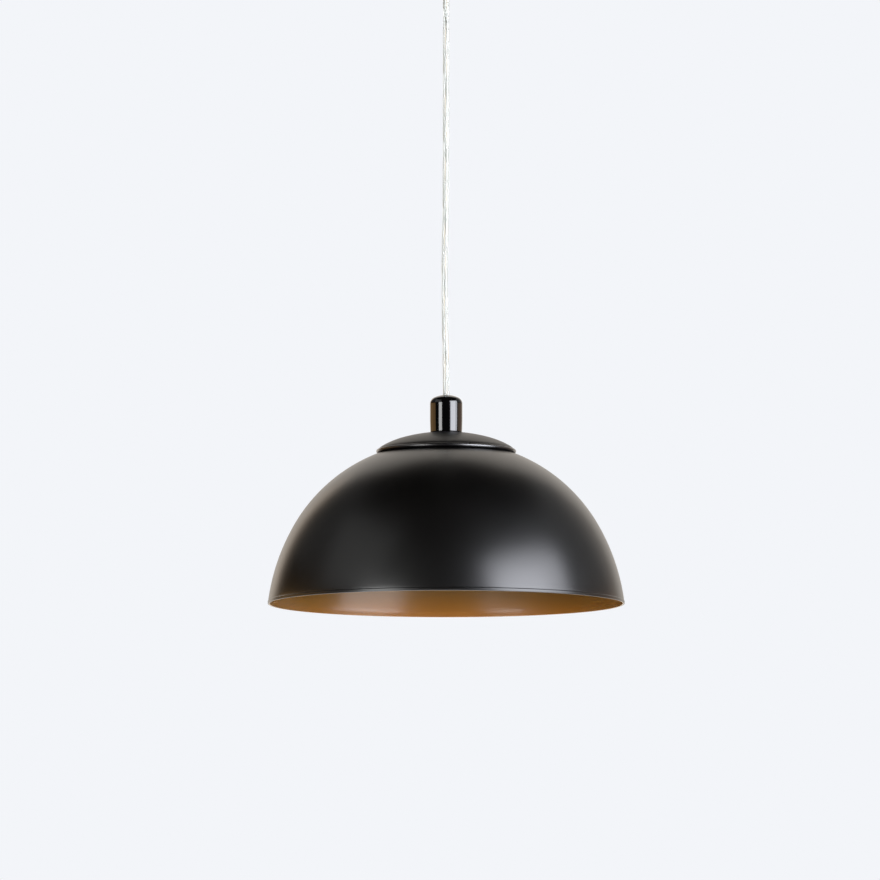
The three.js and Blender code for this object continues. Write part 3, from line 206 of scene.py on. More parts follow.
def moulded(name, dark, light, rough, ior=1.53, deep=0.008):
    """Moulded plastic or glazed ceramic: one even colour with the fine skin of its mould or glaze,
    so many millimetres deep."""
    material, tree, place = new_material(name)
    cloud = add(tree, "TexNoise", {"Vector": place, "Scale": 1 / (14 * MM)})
    skin = add(tree, "TexNoise", {"Vector": place, "Scale": 1 / (0.4 * MM)})
    surface(tree, {"IOR": ior}, cloud, (dark, light), cloud, (rough - 0.04, rough + 0.04),
            skin, deep)
    return material


def clear_pvc():
    """Clear flexible PVC, extruded: glassy, faintly green in depth, with soft draw ripples."""
    material, tree, place = new_material("clear_pvc")
    along = add(tree, "Mapping", {"Vector": place, "Scale": (1, 1, 0.015)})
    ripple = add(tree, "TexNoise", {"Vector": along, "Scale": 1 / (1.2 * MM)})
    surface(tree, {"IOR": 1.53, "Transmission Weight": 1.0, "Roughness": 0.04},
            ripple, ("#F3F6F2", "#FAFBFA"), relief=ripple, deep=0.01)
    return material


def tinned_copper_strands():
    """Tinned copper strands twisted into a conductor: pale silver with a fine long lay."""
    material, tree, place = new_material("tinned_copper_strands")
    along = add(tree, "Mapping", {"Vector": place, "Scale": (1, 1, 0.04)})
    lay = add(tree, "TexNoise", {"Vector": along, "Scale": 1 / (0.35 * MM)})
    surface(tree, {"Metallic": 0.35, "Roughness": 0.5},
            lay, ("#D3D6D1", "#F2F3F1"), relief=lay, deep=0.02)
    return material


def opal_glass():
    """Opal glass, blown and frosted inside: white in depth under a clear polished skin."""
    material, tree, place = new_material("opal_glass")
    cloud = add(tree, "TexNoise", {"Vector": place, "Scale": 1 / (16 * MM)})
    opal = {"IOR": 1.5, "Subsurface Weight": 0.3, "Subsurface Scale": 4 * MM,
            "Subsurface Radius": (1, 1, 1), "Coat Weight": 0.4, "Coat Roughness": 0.04}
    surface(tree, opal, cloud, ("#EDEAE2", "#F5F3EC"), cloud, (0.16, 0.24))
    return material


POWDER = {"tints": ("#020202", "#040404"), "clouds": 60, "peel": 1.1, "deep": 0.012}
DRAWN = {"rough": (0.18, 0.34), "draw": (1, 1, 0.06), "clouds": 7, "marks": 0.3, "deep": 0.004}

FINISHES = {
    # Powder coat: a soft broad sheen.
    "satin_black_steel": black_coat("satin_black_powder_coat", rough=(0.29, 0.33), ior=1.62, **POWDER),
    # Enamel on a turned cup: sharp bright reflections.
    "gloss_black_metal": black_coat("gloss_black_enamel", ("#030303", "#050505"), (0.07, 0.1), 1.72,
                                    clouds=12, peel=0.9, deep=0.001),
    # Bright zinc on pressed steel: cool grey with faint blue and straw clouds, and rolled grain.
    "zinc_steel": worked_metal("zinc_plated_steel", ("#AEB4BC", "#C6C3B6"), (0.22, 0.42), (0.08, 1, 1),
                               clouds=9, marks=0.25, deep=0.006),
    # Thin metal drawn or stamped: bright, with draw marks down its length.
    "brass": worked_metal("drawn_brass", ("#B08A44", "#C9A55C"), **DRAWN),
    "nickel": worked_metal("nickel_plated_brass", ("#B9B5AB", "#D0CDC5"), **DRAWN),
    "black_plastic": moulded("black_phenolic", "#121212", "#1B1A1A", 0.36, ior=1.55),
    "white_nylon": moulded("white_nylon", "#E2DFD6", "#ECEAE3", 0.45),
    "porcelain": moulded("glazed_porcelain", "#E9E4D8", "#F2EEE5", 0.2, ior=1.5, deep=0.004),
    "clear_pvc": clear_pvc(),
    "opal_glass": opal_glass(),
    "core_brown": moulded("brown_pvc_sleeve", "#4A2A17", "#5C3620", 0.4),
    "core_blue": moulded("blue_pvc_sleeve", "#1F4E9C", "#2C62B5", 0.4),
    "core_green": moulded("green_pvc_sleeve", "#4C8A2C", "#639F38", 0.4),
}
# The top cap's dish is a flatter black, and its bead is buffed to a brighter line.
CAP_COAT = black_coat("matt_black_powder_coat", rough=(0.4, 0.44), ior=1.62, **POWDER)
BEAD_COAT = black_coat("buffed_black_powder_coat", rough=(0.26, 0.3), ior=2.1, **POWDER)
BRONZE = bronze_lacquer()
STRANDS = tinned_copper_strands()


# ---- shape helpers

WELD = 1e-7  # distances in metres within which points are made one
SEAM_WELD = 2e-6
CAD_WELD = 1e-6
NEAR = 0.05  # distance in millimetres that counts as on a surface
PAST = 1  # how far a cutting tool reaches past the face that it cuts


def arc(centre, radius, start, stop, steps):
    """Points on an arc of a section, angles in degrees from the outward direction."""
    angles = [math.radians(start + (stop - start) * i / steps) for i in range(steps + 1)]
    return [(centre[0] + radius * math.cos(a), centre[1] + radius * math.sin(a)) for a in angles]


def finish_mesh(shape, name, sharp=35):
    """Turns a bmesh into an object that is smooth except where its faces meet sharply."""
    for face in shape.faces:
        face.smooth = True
    for edge in shape.edges:
        if len(edge.link_faces) == 2:
            edge.smooth = edge.calc_face_angle(0) < math.radians(sharp)
    mesh = bpy.data.meshes.new(name)
    shape.to_mesh(mesh)
    shape.free()
    piece = bpy.data.objects.new(name, mesh)
    scene.collection.objects.link(piece)
    return piece


def turned(name, section, steps=96, sharp=35):
    """Turns a section about the Z axis into a closed piece. It is closed in itself, or starts and
    ends on the axis."""
    shape = bmesh.new()
    corners = [shape.verts.new((r * MM, 0, z * MM)) for r, z in section]
    pairs = list(zip(corners, corners[1:]))
    if section[0][0] or section[-1][0]:
        pairs.append((corners[-1], corners[0]))
    edges = [shape.edges.new(pair) for pair in pairs]
    bmesh.ops.spin(shape, geom=corners + edges, cent=(0, 0, 0), axis=(0, 0, 1), dvec=(0, 0, 0),
                   angle=2 * math.pi, steps=steps, use_merge=True)
    bmesh.ops.remove_doubles(shape, verts=shape.verts, dist=WELD)
    bmesh.ops.recalc_face_normals(shape, faces=shape.faces)
    return finish_mesh(shape, name, sharp)


def rod(radius, start, stop, sides=24):
    """A round bar between two points, in millimetres."""
    start, stop = Vector(start) * MM, Vector(stop) * MM
    along = stop - start
    place = Matrix.Translation((start + stop) / 2) @ along.to_track_quat("Z", "Y").to_matrix().to_4x4()
    shape = bmesh.new()
    bmesh.ops.create_cone(shape, cap_ends=True, segments=sides, radius1=radius * MM,
                          radius2=radius * MM, depth=along.length, matrix=place)
    return finish_mesh(shape, "bar")


def block(*sides):
    """A square-edged block between three pairs of sides, in millimetres."""
    place = Matrix.LocRotScale([sum(pair) / 2 * MM for pair in sides], None,
                               [(pair[1] - pair[0]) * MM for pair in sides])
    shape = bmesh.new()
    bmesh.ops.create_cube(shape, size=1, matrix=place)
    return finish_mesh(shape, "block")


def cut(piece, *tools, keep="DIFFERENCE", sharp=35):
    """Cuts tools out of a piece, or with keep="INTERSECT" keeps what lies inside them all."""
    name = piece.name
    for tool in tools:
        modifier = piece.modifiers.new("cut", "BOOLEAN")
        modifier.operation, modifier.solver, modifier.object = keep, "EXACT", tool
    shape = bmesh.new()
    shape.from_object(piece, bpy.context.evaluated_depsgraph_get())
    for used in (piece, *tools):
        bpy.data.objects.remove(used)
    bmesh.ops.remove_doubles(shape, verts=shape.verts, dist=WELD)
    return finish_mesh(shape, name, sharp)


def moved(piece, place=(0, 0, 0), turn=0, axis="Z"):
    """Turns a piece about an axis of its own, in degrees, and puts it at a place in millimetres."""
    spin = Matrix.Rotation(math.radians(turn), 4, axis)
    piece.data.transform(Matrix.Translation(Vector(place) * MM) @ spin)
    return piece


def taken_up(*pieces):
    """The meshes of pieces as one shape, for more work. The pieces themselves are removed."""
    shape = bmesh.new()
    for piece in pieces:
        shape.from_mesh(piece.data)
        bpy.data.objects.remove(piece)
    return shape


def open_edges(shape, height):
    """The open edges of a skin that lie at a height, in millimetres."""
    return [e for e in shape.edges
            if e.is_boundary and all(abs(v.co.z / MM - height) < NEAR for v in e.verts)]


def carry_on(shape, edges, rings):
    """Carries a skin's open edge on through rings of (radius, height)."""
    for radius, height in rings:
        grown = bmesh.ops.extrude_edge_only(shape, edges=edges)["geom"]
        for vert in (v for v in grown if isinstance(v, bmesh.types.BMVert)):
            out = Vector(vert.co[:2]).normalized() * radius * MM
            vert.co = (*out, height * MM)
        edges = [e for e in grown if isinstance(e, bmesh.types.BMEdge) and e.is_boundary]
    return edges


def thread(root, crest, pitch, foot, top, phase, sides, points):
    """The skin of a rounded right-hand thread, open at both ends. Its crests pass the height
    phase on the +X side."""
    shape = bmesh.new()
    start = phase + pitch * (math.floor((foot - phase) / pitch) - 1)
    turns = math.ceil((top - start) / pitch) + 1
    mean, swing = (crest + root) / 2, (crest - root) / 2
    heights = [start + pitch * i / points for i in range(points + 1)]
    waves = [mean + swing * math.cos(2 * math.pi * (z - phase) / pitch) for z in heights]
    line = [shape.verts.new((r * MM, 0, z * MM)) for r, z in zip(waves, heights)]
    edges = [shape.edges.new(pair) for pair in zip(line, line[1:])]
    bmesh.ops.spin(shape, geom=line + edges, cent=(0, 0, 0), axis=(0, 0, 1),
                   dvec=(0, 0, pitch / sides * MM), angle=2 * math.pi, steps=sides)
    first_turn = shape.verts[:] + shape.edges[:] + shape.faces[:]
    for turn in range(1, turns):
        copied = bmesh.ops.duplicate(shape, geom=first_turn)["geom"]
        bmesh.ops.translate(shape, vec=(0, 0, turn * pitch * MM),
                            verts=[v for v in copied if isinstance(v, bmesh.types.BMVert)])
    bmesh.ops.remove_doubles(shape, verts=shape.verts, dist=SEAM_WELD)
    for height, above in ((top, True), (foot, False)):
        bmesh.ops.bisect_plane(shape, geom=shape.verts[:] + shape.edges[:] + shape.faces[:], dist=WELD,
                               plane_co=(0, 0, height * MM), plane_no=(0, 0, 1),
                               clear_outer=above, clear_inner=not above)
    return shape


def threaded(name, size, foot, top, below, above, phase=0, sheet=0, sides=40, points=8):
    """A piece with a thread of a (root, crest, pitch). Each end of its skin runs on through rings.
    Then the ends are closed over or joined in a bore, or the skin gets a sheet's thickness inwards."""
    skin = thread(*size, foot, top, phase, sides, points)
    low_edge = carry_on(skin, open_edges(skin, foot), below)
    high_edge = carry_on(skin, open_edges(skin, top), above)
    if sheet:
        bmesh.ops.recalc_face_normals(skin, faces=skin.faces)
        bmesh.ops.solidify(skin, geom=skin.faces[:], thickness=sheet * MM)
    elif below[-1] == above[-1]:
        bmesh.ops.bridge_loops(skin, edges=low_edge + high_edge)
    else:
        bmesh.ops.edgeloop_fill(skin, edges=low_edge)
        bmesh.ops.edgeloop_fill(skin, edges=high_edge)
    bmesh.ops.recalc_face_normals(skin, faces=skin.faces)
    return finish_mesh(skin, name)


def wear(piece, slot, body, *nodes):
    """Gives a piece its finish, its body and the CAD nodes that it stands for, and keeps the
    shading of its flat faces level."""
    if not piece.data.materials:
        piece.data.materials.append(FINISHES[slot])
    level = piece.modifiers.new("level_faces", "WEIGHTED_NORMAL")
    level.keep_sharp = True
    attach(piece, body)
    if nodes:
        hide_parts(*nodes)
    return piece


def dress(node, slot, body, edge=0.15, sharp=38):
    """A CAD node's shape with its edges broken by a small bevel, in its own finish."""
    shape = bmesh.new()
    shape.from_mesh(frame["nodes"][node].data)
    bmesh.ops.remove_doubles(shape, verts=shape.verts, dist=CAD_WELD)
    bmesh.ops.dissolve_limit(shape, angle_limit=math.radians(1), verts=shape.verts, edges=shape.edges)
    hard = [e for e in shape.edges
            if len(e.link_faces) == 2 and e.calc_face_angle(0) > math.radians(sharp)]
    bmesh.ops.bevel(shape, geom=hard, offset=edge * MM, offset_type="OFFSET", segments=2,
                    profile=0.5, affect="EDGES", clamp_overlap=True, material=-1)
    bmesh.ops.triangulate(shape, faces=[f for f in shape.faces if len(f.verts) > 4])
    return wear(finish_mesh(shape, node + "_piece", sharp), slot, body, node)


# ---- cord

CORD_R = 2.7
CORD_SHARP = 50  # degrees past which its edges stay sharp
CORE_SPREAD = 1.3  # conductors' distance from the cord's axis
STRAND_R = 0.62
LAY = 170  # length in which the conductors turn once
SWING_X, SWING_Y = joint_height("swing_x"), joint_height("swing_y")
JOIN = SWING_X - 1.2  # where the cord in the gland meets the hanging cord
CORD_TOP = high("cord_entry")
CORD_FOOT = high("grip_cover") + 0.2  # just over the grip cover
# The heights between which each stretch of cord would bend at its joint; make_cord unpacks them but
# doesn't use them
GLAND_BEND = (SWING_X + 2.8, JOIN + 0.3)
HANGING_BEND = (JOIN - 0.4, 2 * SWING_Y - JOIN + 0.4)

# Sideways bow that the cord keeps from its packing: [share of its length, millimetres along X]
CORD_BOW = [
    [0, 0], [0.05, 0], [0.12, 0], [0.2, -0.05], [0.3, -0.1], [0.4, -0.15], [0.5, -0.25],
    [0.58, -0.6], [0.65, -1.05], [0.71, -1.25], [0.78, -0.95], [0.85, -0.7], [0.91, -0.4],
    [0.96, -0.1], [0.985, 0], [1, 0],
]


def swept(name, points, radius, sides):
    """A closed round tube along points in millimetres."""
    data = bpy.data.curves.new(name, "CURVE")
    data.dimensions = "3D"
    data.bevel_depth = radius * MM
    data.bevel_resolution = sides // 4 - 1
    data.use_fill_caps = True
    spline = data.splines.new("POLY")
    spline.points.add(len(points) - 1)
    for control, point in zip(spline.points, points):
        control.co = (*[c * MM for c in point], 1)
    guide = bpy.data.objects.new(name + "_guide", data)
    scene.collection.objects.link(guide)
    mesh = bpy.data.meshes.new_from_object(guide.evaluated_get(bpy.context.evaluated_depsgraph_get()))
    bpy.data.objects.remove(guide)
    shape = bmesh.new()
    shape.from_mesh(mesh)
    bmesh.ops.remove_doubles(shape, verts=shape.verts, dist=WELD)
    bmesh.ops.recalc_face_normals(shape, faces=shape.faces)
    return finish_mesh(shape, name, CORD_SHARP)


def cord_line(top, foot, step=1.5):
    """The cord's centreline between two heights, a point every step."""
    count = max(4, round((top - foot) / step))
    heights = [top + (foot - top) * i / count for i in range(count + 1)]
    return [(bow_at((SWING_Y - z) / (SWING_Y - CORD_FOOT)), 0, z) for z in heights]


def bow_at(share):
    """The cord's bow at a share of its free length, smooth between the listed points."""
    share = min(max(share, 0), 1)
    last = len(CORD_BOW) - 2
    i = next((k for k in range(last + 1) if share <= CORD_BOW[k + 1][0]), last)
    (s0, x0), (s1, x1) = CORD_BOW[max(i - 1, 0)], CORD_BOW[i]
    (s2, x2), (s3, x3) = CORD_BOW[i + 1], CORD_BOW[min(i + 2, last + 1)]
    t = (share - s1) / (s2 - s1)
    slope1 = (x2 - x0) / (s2 - s0) * (s2 - s1)
    slope2 = (x3 - x1) / (s3 - s1) * (s2 - s1)
    return ((2 * t**3 - 3 * t**2 + 1) * x1 + (t**3 - 2 * t**2 + t) * slope1
            + (-2 * t**3 + 3 * t**2) * x2 + (t**3 - t**2) * slope2)


def core_lines(line):
    """The three conductors' centrelines, twisted about the cord's own."""
    cores = []
    for pole in range(3):
        turn = [2 * math.pi * (z / LAY + pole / 3) for _, _, z in line]
        cores.append([(x + CORE_SPREAD * math.cos(a), y + CORE_SPREAD * math.sin(a), z)
                      for (x, y, z), a in zip(line, turn)])
    return cores


def make_cord():
    """The clear cord in two stretches, each with its three conductors."""
    stretches = [
        ("cord_in_gland", cord_line(CORD_TOP, JOIN), ("ceiling_set", "cord_link"), GLAND_BEND,
         ("cord_entry", "cord_link")),
        ("cord_sheath", cord_line(JOIN, CORD_FOOT), ("cord_link", "cord"), HANGING_BEND, ("cord",)),
    ]
    for name, line, bodies, (start, stop), nodes in stretches:
        sheath = swept(name, line, CORD_R, 32)
        sheath.data.materials.append(FINISHES["clear_pvc"])
        cores = [swept(f"{name}_{i}", core, STRAND_R, 12) for i, core in enumerate(core_lines(line))]
        cores = finish_mesh(taken_up(*cores), name + "_conductors", CORD_SHARP)
        cores.data.materials.append(STRANDS)
        for piece, slot in ((sheath, "clear_pvc"), (cores, "zinc_steel")):
            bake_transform(piece)
        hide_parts(*nodes)


make_cord()


# ---- shade

SHADE_SHEET = 1
WALL_ARC_R = 174.6
RIM_LEAN = 6.7
SHOULDER_LEAN = 30.1
CROWN_ARC_R = 138.5
SHADE_LAND_R = 20
HEM_H = 2.8
HEM_T = 1.9
HEM_CREASE = 0.35
HEM_FADE = 5.2  # height over which the fold inside runs out into the wall
HEM_FOOT = 0.43  # the folded edge's radius, as a share of the hem's thickness
HEM_FOOT_FLAT = 0.5  # how far that edge is pressed flat
HEM_SHOULDER = [(0.22, 0.25), (0.05, 0.5), (0, 0.8)]  # in from the hem's face, down from its top
TUBE_HOLE_R = 5.3


def shade_arcs():
    """The centres of the wall's and the crown's arcs, and the lean at the land."""
    rim, rim_r = low("shade"), high("shade", 0)
    lean, shoulder = math.radians(RIM_LEAN), math.radians(SHOULDER_LEAN)
    wall = (rim_r - WALL_ARC_R * math.cos(lean), rim - WALL_ARC_R * math.sin(lean))
    step = WALL_ARC_R - CROWN_ARC_R
    crown = (wall[0] + step * math.cos(shoulder), wall[1] + step * math.sin(shoulder))
    land = math.degrees(math.acos((SHADE_LAND_R - crown[0]) / CROWN_ARC_R))
    return wall, crown, land


def shade_curve(depth, first_lean):
    """The shade's section from near the rim to the land, at a depth inside its outer face."""
    wall, crown, land = shade_arcs()
    return (arc(wall, WALL_ARC_R - depth, first_lean, SHOULDER_LEAN, 24)
            + arc(crown, CROWN_ARC_R - depth, SHOULDER_LEAN, land, 40)[1:])


def make_shade():
    """The spun dome: one sheet with a hem pressed flat round its rim, lacquered inside."""
    rim, rim_r = low("shade"), high("shade", 0)
    wall = shade_arcs()[0]
    lean = math.tan(math.radians(RIM_LEAN))
    above_hem, above_fold = [math.degrees(math.asin((rim + up - wall[1]) / WALL_ARC_R))
                             for up in (HEM_H + 2 * HEM_CREASE, HEM_FADE)]
    crease_r = rim_r - HEM_H * lean - HEM_CREASE / 2
    foot_r = HEM_T * HEM_FOOT
    outer = shade_curve(0, above_hem)
    inner = shade_curve(SHADE_SHEET, above_fold)
    fold = arc((rim_r - foot_r, rim + foot_r), foot_r, 0, -180, 14)
    hem = [
        (crease_r, rim + HEM_H + NEAR),
        *[(rim_r - back, rim + HEM_H - down) for back, down in HEM_SHOULDER],
        *[(r, rim + (z - rim) * HEM_FOOT_FLAT) for r, z in fold],
        (rim_r - 2 * foot_r, rim + HEM_H / 2), (rim_r - 2 * foot_r, rim + HEM_H),
    ]
    section = [(TUBE_HOLE_R, outer[-1][1]), *reversed(outer), *hem, *inner,
               (TUBE_HOLE_R, inner[-1][1])]
    shade = turned("shade_dome", section, steps=224, sharp=24)
    shade.data.materials.append(FINISHES["satin_black_steel"])
    shade.data.materials.append(BRONZE)
    # Lacquer covers what faces the axis or the lampholder, up to the inner edge of the hem.
    for face in shade.data.polygons:
        r = math.hypot(face.center.x, face.center.y) / MM
        outward = face.center.x * face.normal.x + face.center.y * face.normal.y
        inside = outward < 0 or (face.normal.z < -0.5 and r < rim_r - 2 * HEM_T)
        face.material_index = 1 if inside and r > TUBE_HOLE_R + NEAR else 0
    return wear(shade, "satin_black_steel", "lamp", "shade")


shade_dome = make_shade()


# ---- top cap

CAP_BEAD_R = 1.6
CAP_GROOVE = 0.4
CAP_SHEET = 1
CAP_EDGE_R = 14.5
CAP_SHOULDER_R = 70
CAP_LAND_R = 14
CAP_SLOPES = (15.8, 30, 45)  # degrees at the ends of its crown, shoulder and edge arcs
CAP_BEAD_START = 120


def make_cap():
    """The top cap: a shallow pressed dish with a rolled bead round its edge."""
    bead = (high("top_cap", 0) - CAP_BEAD_R, low("top_cap") + CAP_BEAD_R)
    top_slope, shoulder_slope, edge_slope = [math.radians(s) for s in CAP_SLOPES]
    edge = (bead[0] - CAP_GROOVE - CAP_EDGE_R * math.sin(edge_slope),
            bead[1] + CAP_BEAD_R + CAP_GROOVE - CAP_EDGE_R * math.cos(edge_slope))
    step = CAP_EDGE_R - CAP_SHOULDER_R
    shoulder = (edge[0] + step * math.sin(shoulder_slope), edge[1] + step * math.cos(shoulder_slope))
    crown_r = CAP_SHOULDER_R + shoulder[0] / math.sin(top_slope)
    crown = (0, shoulder[1] + (CAP_SHOULDER_R - crown_r) * math.cos(top_slope))
    land_slope = math.degrees(math.asin(CAP_LAND_R / crown_r))
    first, second, third = CAP_SLOPES

    def dish(depth):
        return (arc(crown, crown_r - depth, 90 - land_slope, 90 - first, 14)
                + arc(shoulder, CAP_SHOULDER_R - depth, 90 - first, 90 - second, 8)[1:]
                + arc(edge, CAP_EDGE_R - depth, 90 - second, 90 - third, 6)[1:])

    outer, inner = dish(0), dish(CAP_SHEET)
    rolled = arc(bead, CAP_BEAD_R, CAP_BEAD_START, -180, 22)
    section = [(TUBE_HOLE_R, outer[0][1]), *outer, *rolled, *reversed(inner[:-1]),
               (TUBE_HOLE_R, inner[0][1])]
    cap = turned("cap_dish", section, steps=160, sharp=40)
    cap.data.materials.append(CAP_COAT)
    cap.data.materials.append(BEAD_COAT)
    for face in cap.data.polygons:
        r, z = math.hypot(face.center.x, face.center.y) / MM, face.center.z / MM
        face.material_index = 1 if math.dist((r, z), bead) < CAP_BEAD_R + NEAR else 0
    wear(cap, "satin_black_steel", "lamp", "top_cap")


make_cap()


# ---- grip cover

GRIP_WALL = 1
GRIP_CROWN_R = 24
GRIP_CORNER_R = 5.9
GRIP_FOOT_R = 13.4
GRIP_FOOT_EDGE = 0.7
GRIP_TAPER_H = 10
CORD_HOLE_R = 3


def make_grip():
    """The turned cup over the cord grip: a low crown, a round corner and a narrower foot."""
    top, foot, side = high("grip_cover"), low("grip_cover"), high("grip_cover", 0)
    reach = side - GRIP_CORNER_R
    slope = math.asin(reach / (GRIP_CROWN_R - GRIP_CORNER_R))
    crown = (0, top - math.sqrt(GRIP_CROWN_R**2 - CORD_HOLE_R**2))
    corner = (reach, crown[1] + (GRIP_CROWN_R - GRIP_CORNER_R) * math.cos(slope))
    near_foot = GRIP_FOOT_R + (side - GRIP_FOOT_R) * 2 * GRIP_FOOT_EDGE / GRIP_TAPER_H

    def curve(depth):
        hole = math.degrees(math.asin(CORD_HOLE_R / (GRIP_CROWN_R - depth)))
        return (arc(crown, GRIP_CROWN_R - depth, 90 - hole, 90 - math.degrees(slope), 10)
                + arc(corner, GRIP_CORNER_R - depth, 90 - math.degrees(slope), 0, 14)[1:]
                + [(side - depth, foot + GRIP_TAPER_H), (near_foot - depth, foot + 2 * GRIP_FOOT_EDGE)])

    lip = arc((GRIP_FOOT_R - GRIP_FOOT_EDGE, foot + GRIP_FOOT_EDGE), GRIP_FOOT_EDGE, 0, -90, 5)
    section = [*curve(0), *lip, (GRIP_FOOT_R - GRIP_WALL, foot), *reversed(curve(GRIP_WALL))]
    wear(turned("grip_cup", section, steps=128), "gloss_black_metal", "lamp", "grip_cover")


make_grip()


# ---- screws, nuts and the lamp tube

CLEAR = 0.3  # gap between pieces that seat on each other
TUBE_R = 5
TUBE_BORE_R = 3.7
TUBE_PITCH = 1
TUBE_THREAD = 0.35  # depth of the lamp tube's thread
TUBE_RUN_OUT = 0.5  # plain ends of its thread
NUT_ACROSS = 14
NUT_CHAMFER = 0.6  # as a share of its corner's reach past its flats
SLOT_WIDE = 0.7
SLOT_DEEP = 0.6
SCREW_PITCH = 0.35  # a screw's pitch, root and tip, as shares of its radius
SCREW_ROOT = 0.86
SCREW_TIP = 0.8
GRUB_R = 1.5


def make_screw(node, slot, body, shank_r, head_h=0, tip="up", nose=0.3):
    """A slotted screw with a rolled thread. Its length, place and head come from its node. Without
    a head it is a grub screw. Its tip points up, down, or in from the right."""
    axis, start, turn, about = {
        "up": (2, high(node), 180, "X"),
        "down": (2, low(node), 0, "Z"),
        "in": (0, low(node, 0), 90, "Y"),
    }[tip]
    length = high(node, axis) - low(node, axis)
    place = [middle(node, k) for k in range(3)]
    head_r = (high(node, 1) - low(node, 1)) / 2
    pitch, shoulder, root = shank_r * SCREW_PITCH, length - head_h, shank_r * SCREW_ROOT
    if head_h:
        edge, under = min(head_h / 3, head_r / 4), 0.1
        above = [(head_r - under, shoulder), (head_r, shoulder + under), (head_r, length - edge),
                 (head_r - 0.3 * edge, length - 0.3 * edge), (head_r - edge, length)]
    else:
        above = [(root, length)]
        shoulder = length - nose
    shank = threaded(node + "_piece", (root, shank_r, pitch), nose, shoulder,
                     [(root * SCREW_TIP, 0)], above, sides=20, points=4)
    screw = cut(shank, block((-head_r - PAST, head_r + PAST), (-SLOT_WIDE / 2, SLOT_WIDE / 2),
                             (length - SLOT_DEEP, length + PAST)))
    place[axis] = start
    moved(screw, place, turn, about)
    wear(screw, slot, body, node)


def make_nut(node, body):
    """A hexagon nut, turned off at both faces so that its corners are rounded."""
    foot, top = low(node), high(node)
    across = NUT_ACROSS / 2
    corner = across / math.cos(math.radians(30))
    bar = bmesh.new()
    bmesh.ops.create_cone(bar, cap_ends=True, segments=6, radius1=corner * MM, radius2=corner * MM,
                          depth=(top - foot) * MM,
                          matrix=Matrix.Translation((0, 0, (foot + top) / 2 * MM))
                          @ Matrix.Rotation(math.radians(30), 4, "Z"))
    chamfer, reach = (corner - across) * NUT_CHAMFER, corner + 0.1
    blank = [(0, foot), (across, foot), (reach, foot + chamfer), (reach, top - chamfer),
             (across, top), (0, top)]
    nut = cut(finish_mesh(bar, node + "_piece"), turned("blank", blank, steps=64), keep="INTERSECT",
              sharp=12)
    nut = cut(nut, rod(TUBE_R + CLEAR, (0, 0, foot - PAST), (0, 0, top + PAST), 48), sharp=12)
    wear(nut, "zinc_steel", body, node)


def make_tube():
    """The threaded tube that carries the shade between its nuts, with the cord through its bore."""
    foot, top = low("nipple"), high("nipple")
    start, stop = foot + TUBE_RUN_OUT, top - TUBE_RUN_OUT
    root, in_bore = TUBE_R - TUBE_THREAD, (TUBE_BORE_R, foot + 1)
    tube = threaded("threaded_tube", (root, TUBE_R, TUBE_PITCH), start, stop,
                    [(root, foot), (TUBE_BORE_R, foot), in_bore],
                    [(root, top), (TUBE_BORE_R, top), in_bore], sides=36, points=4)
    wear(tube, "zinc_steel", "lamp", "nipple")


# [node, finish, body, radius, head's height, which way the tip points]
SCREWS = [
    ["clamp_screw", "white_nylon", "lamp", 2, 2.4, "in"],
    ["holder_grub_screw", "zinc_steel", "lamp", GRUB_R, 0, "in"],
    ["gland_screw", "white_nylon", "ceiling_set", GRUB_R, 0, "in"],
    ["holder_screw_live", "zinc_steel", "lamp", 1.3, 1.56, "down"],
    ["holder_screw_neutral", "zinc_steel", "lamp", 1.3, 1.56, "down"],
    ["terminal_fixing_screw", "zinc_steel", "ceiling_set", 1.3, 1.56],
    ["earth_screw", "brass", "ceiling_set", 2, 2.4],
]


make_tube()
for node, body in (("lock_nut", "lamp"), ("end_nut", "lamp"), ("gland_nut", "ceiling_set")):
    make_nut(node, body)
for settings in SCREWS:
    make_screw(*settings)


# ---- lampholder

HOLDER_WALL = 2
DOME_R = 10
BOSS_R = 8.5
BOSS_H = 8
SPIGOT_H = 3
SPIGOT_WALL = 2
MOUTH_R = 14.8
MOUTH_EDGE = 3
LEDGE = 2
FLUTES = 36  # grip flutes round the skirt, and the faces in each one's share
FLUTE_FACES = 4
FLUTE_DEEP = 0.35
FLUTE_EDGE = 0.25
FLUTE_TOP = 5  # how far the flutes stop short of the skirt's ends
FLUTE_FOOT = 7


def make_holder_dome():
    """The lampholder's moulded top, with the boss for the lamp tube and the spigot for its skirt."""
    outer, top, foot = high("holder_dome", 0), high("holder_dome"), low("holder_dome") + SPIGOT_H
    spigot, roof, boss_foot = outer - HOLDER_WALL - CLEAR, top - HOLDER_WALL, top - BOSS_H
    corner, edge, hole = (outer - DOME_R, top - DOME_R), 0.4, TUBE_R + CLEAR
    section = [
        (hole, top), *arc(corner, DOME_R, 90, 0, 14),
        *arc((outer - edge, foot + edge), edge, 0, -90, 3), (spigot, foot),
        *arc((spigot - edge, foot - SPIGOT_H + edge), edge, 0, -90, 3),
        (spigot - SPIGOT_WALL, foot - SPIGOT_H), (spigot - SPIGOT_WALL, foot + HOLDER_WALL),
        (outer - HOLDER_WALL, foot + 2 * HOLDER_WALL), *arc(corner, DOME_R - HOLDER_WALL, 0, 90, 10),
        (BOSS_R, roof), (BOSS_R, boss_foot + edge), (BOSS_R - edge, boss_foot), (hole, boss_foot),
    ]
    grub = middle("holder_grub_screw")
    dome = cut(turned("holder_top", section, steps=96),
               rod(GRUB_R + CLEAR, (0, 0, grub), (BOSS_R + PAST, 0, grub)))
    wear(dome, "black_plastic", "lamp", "holder_dome")


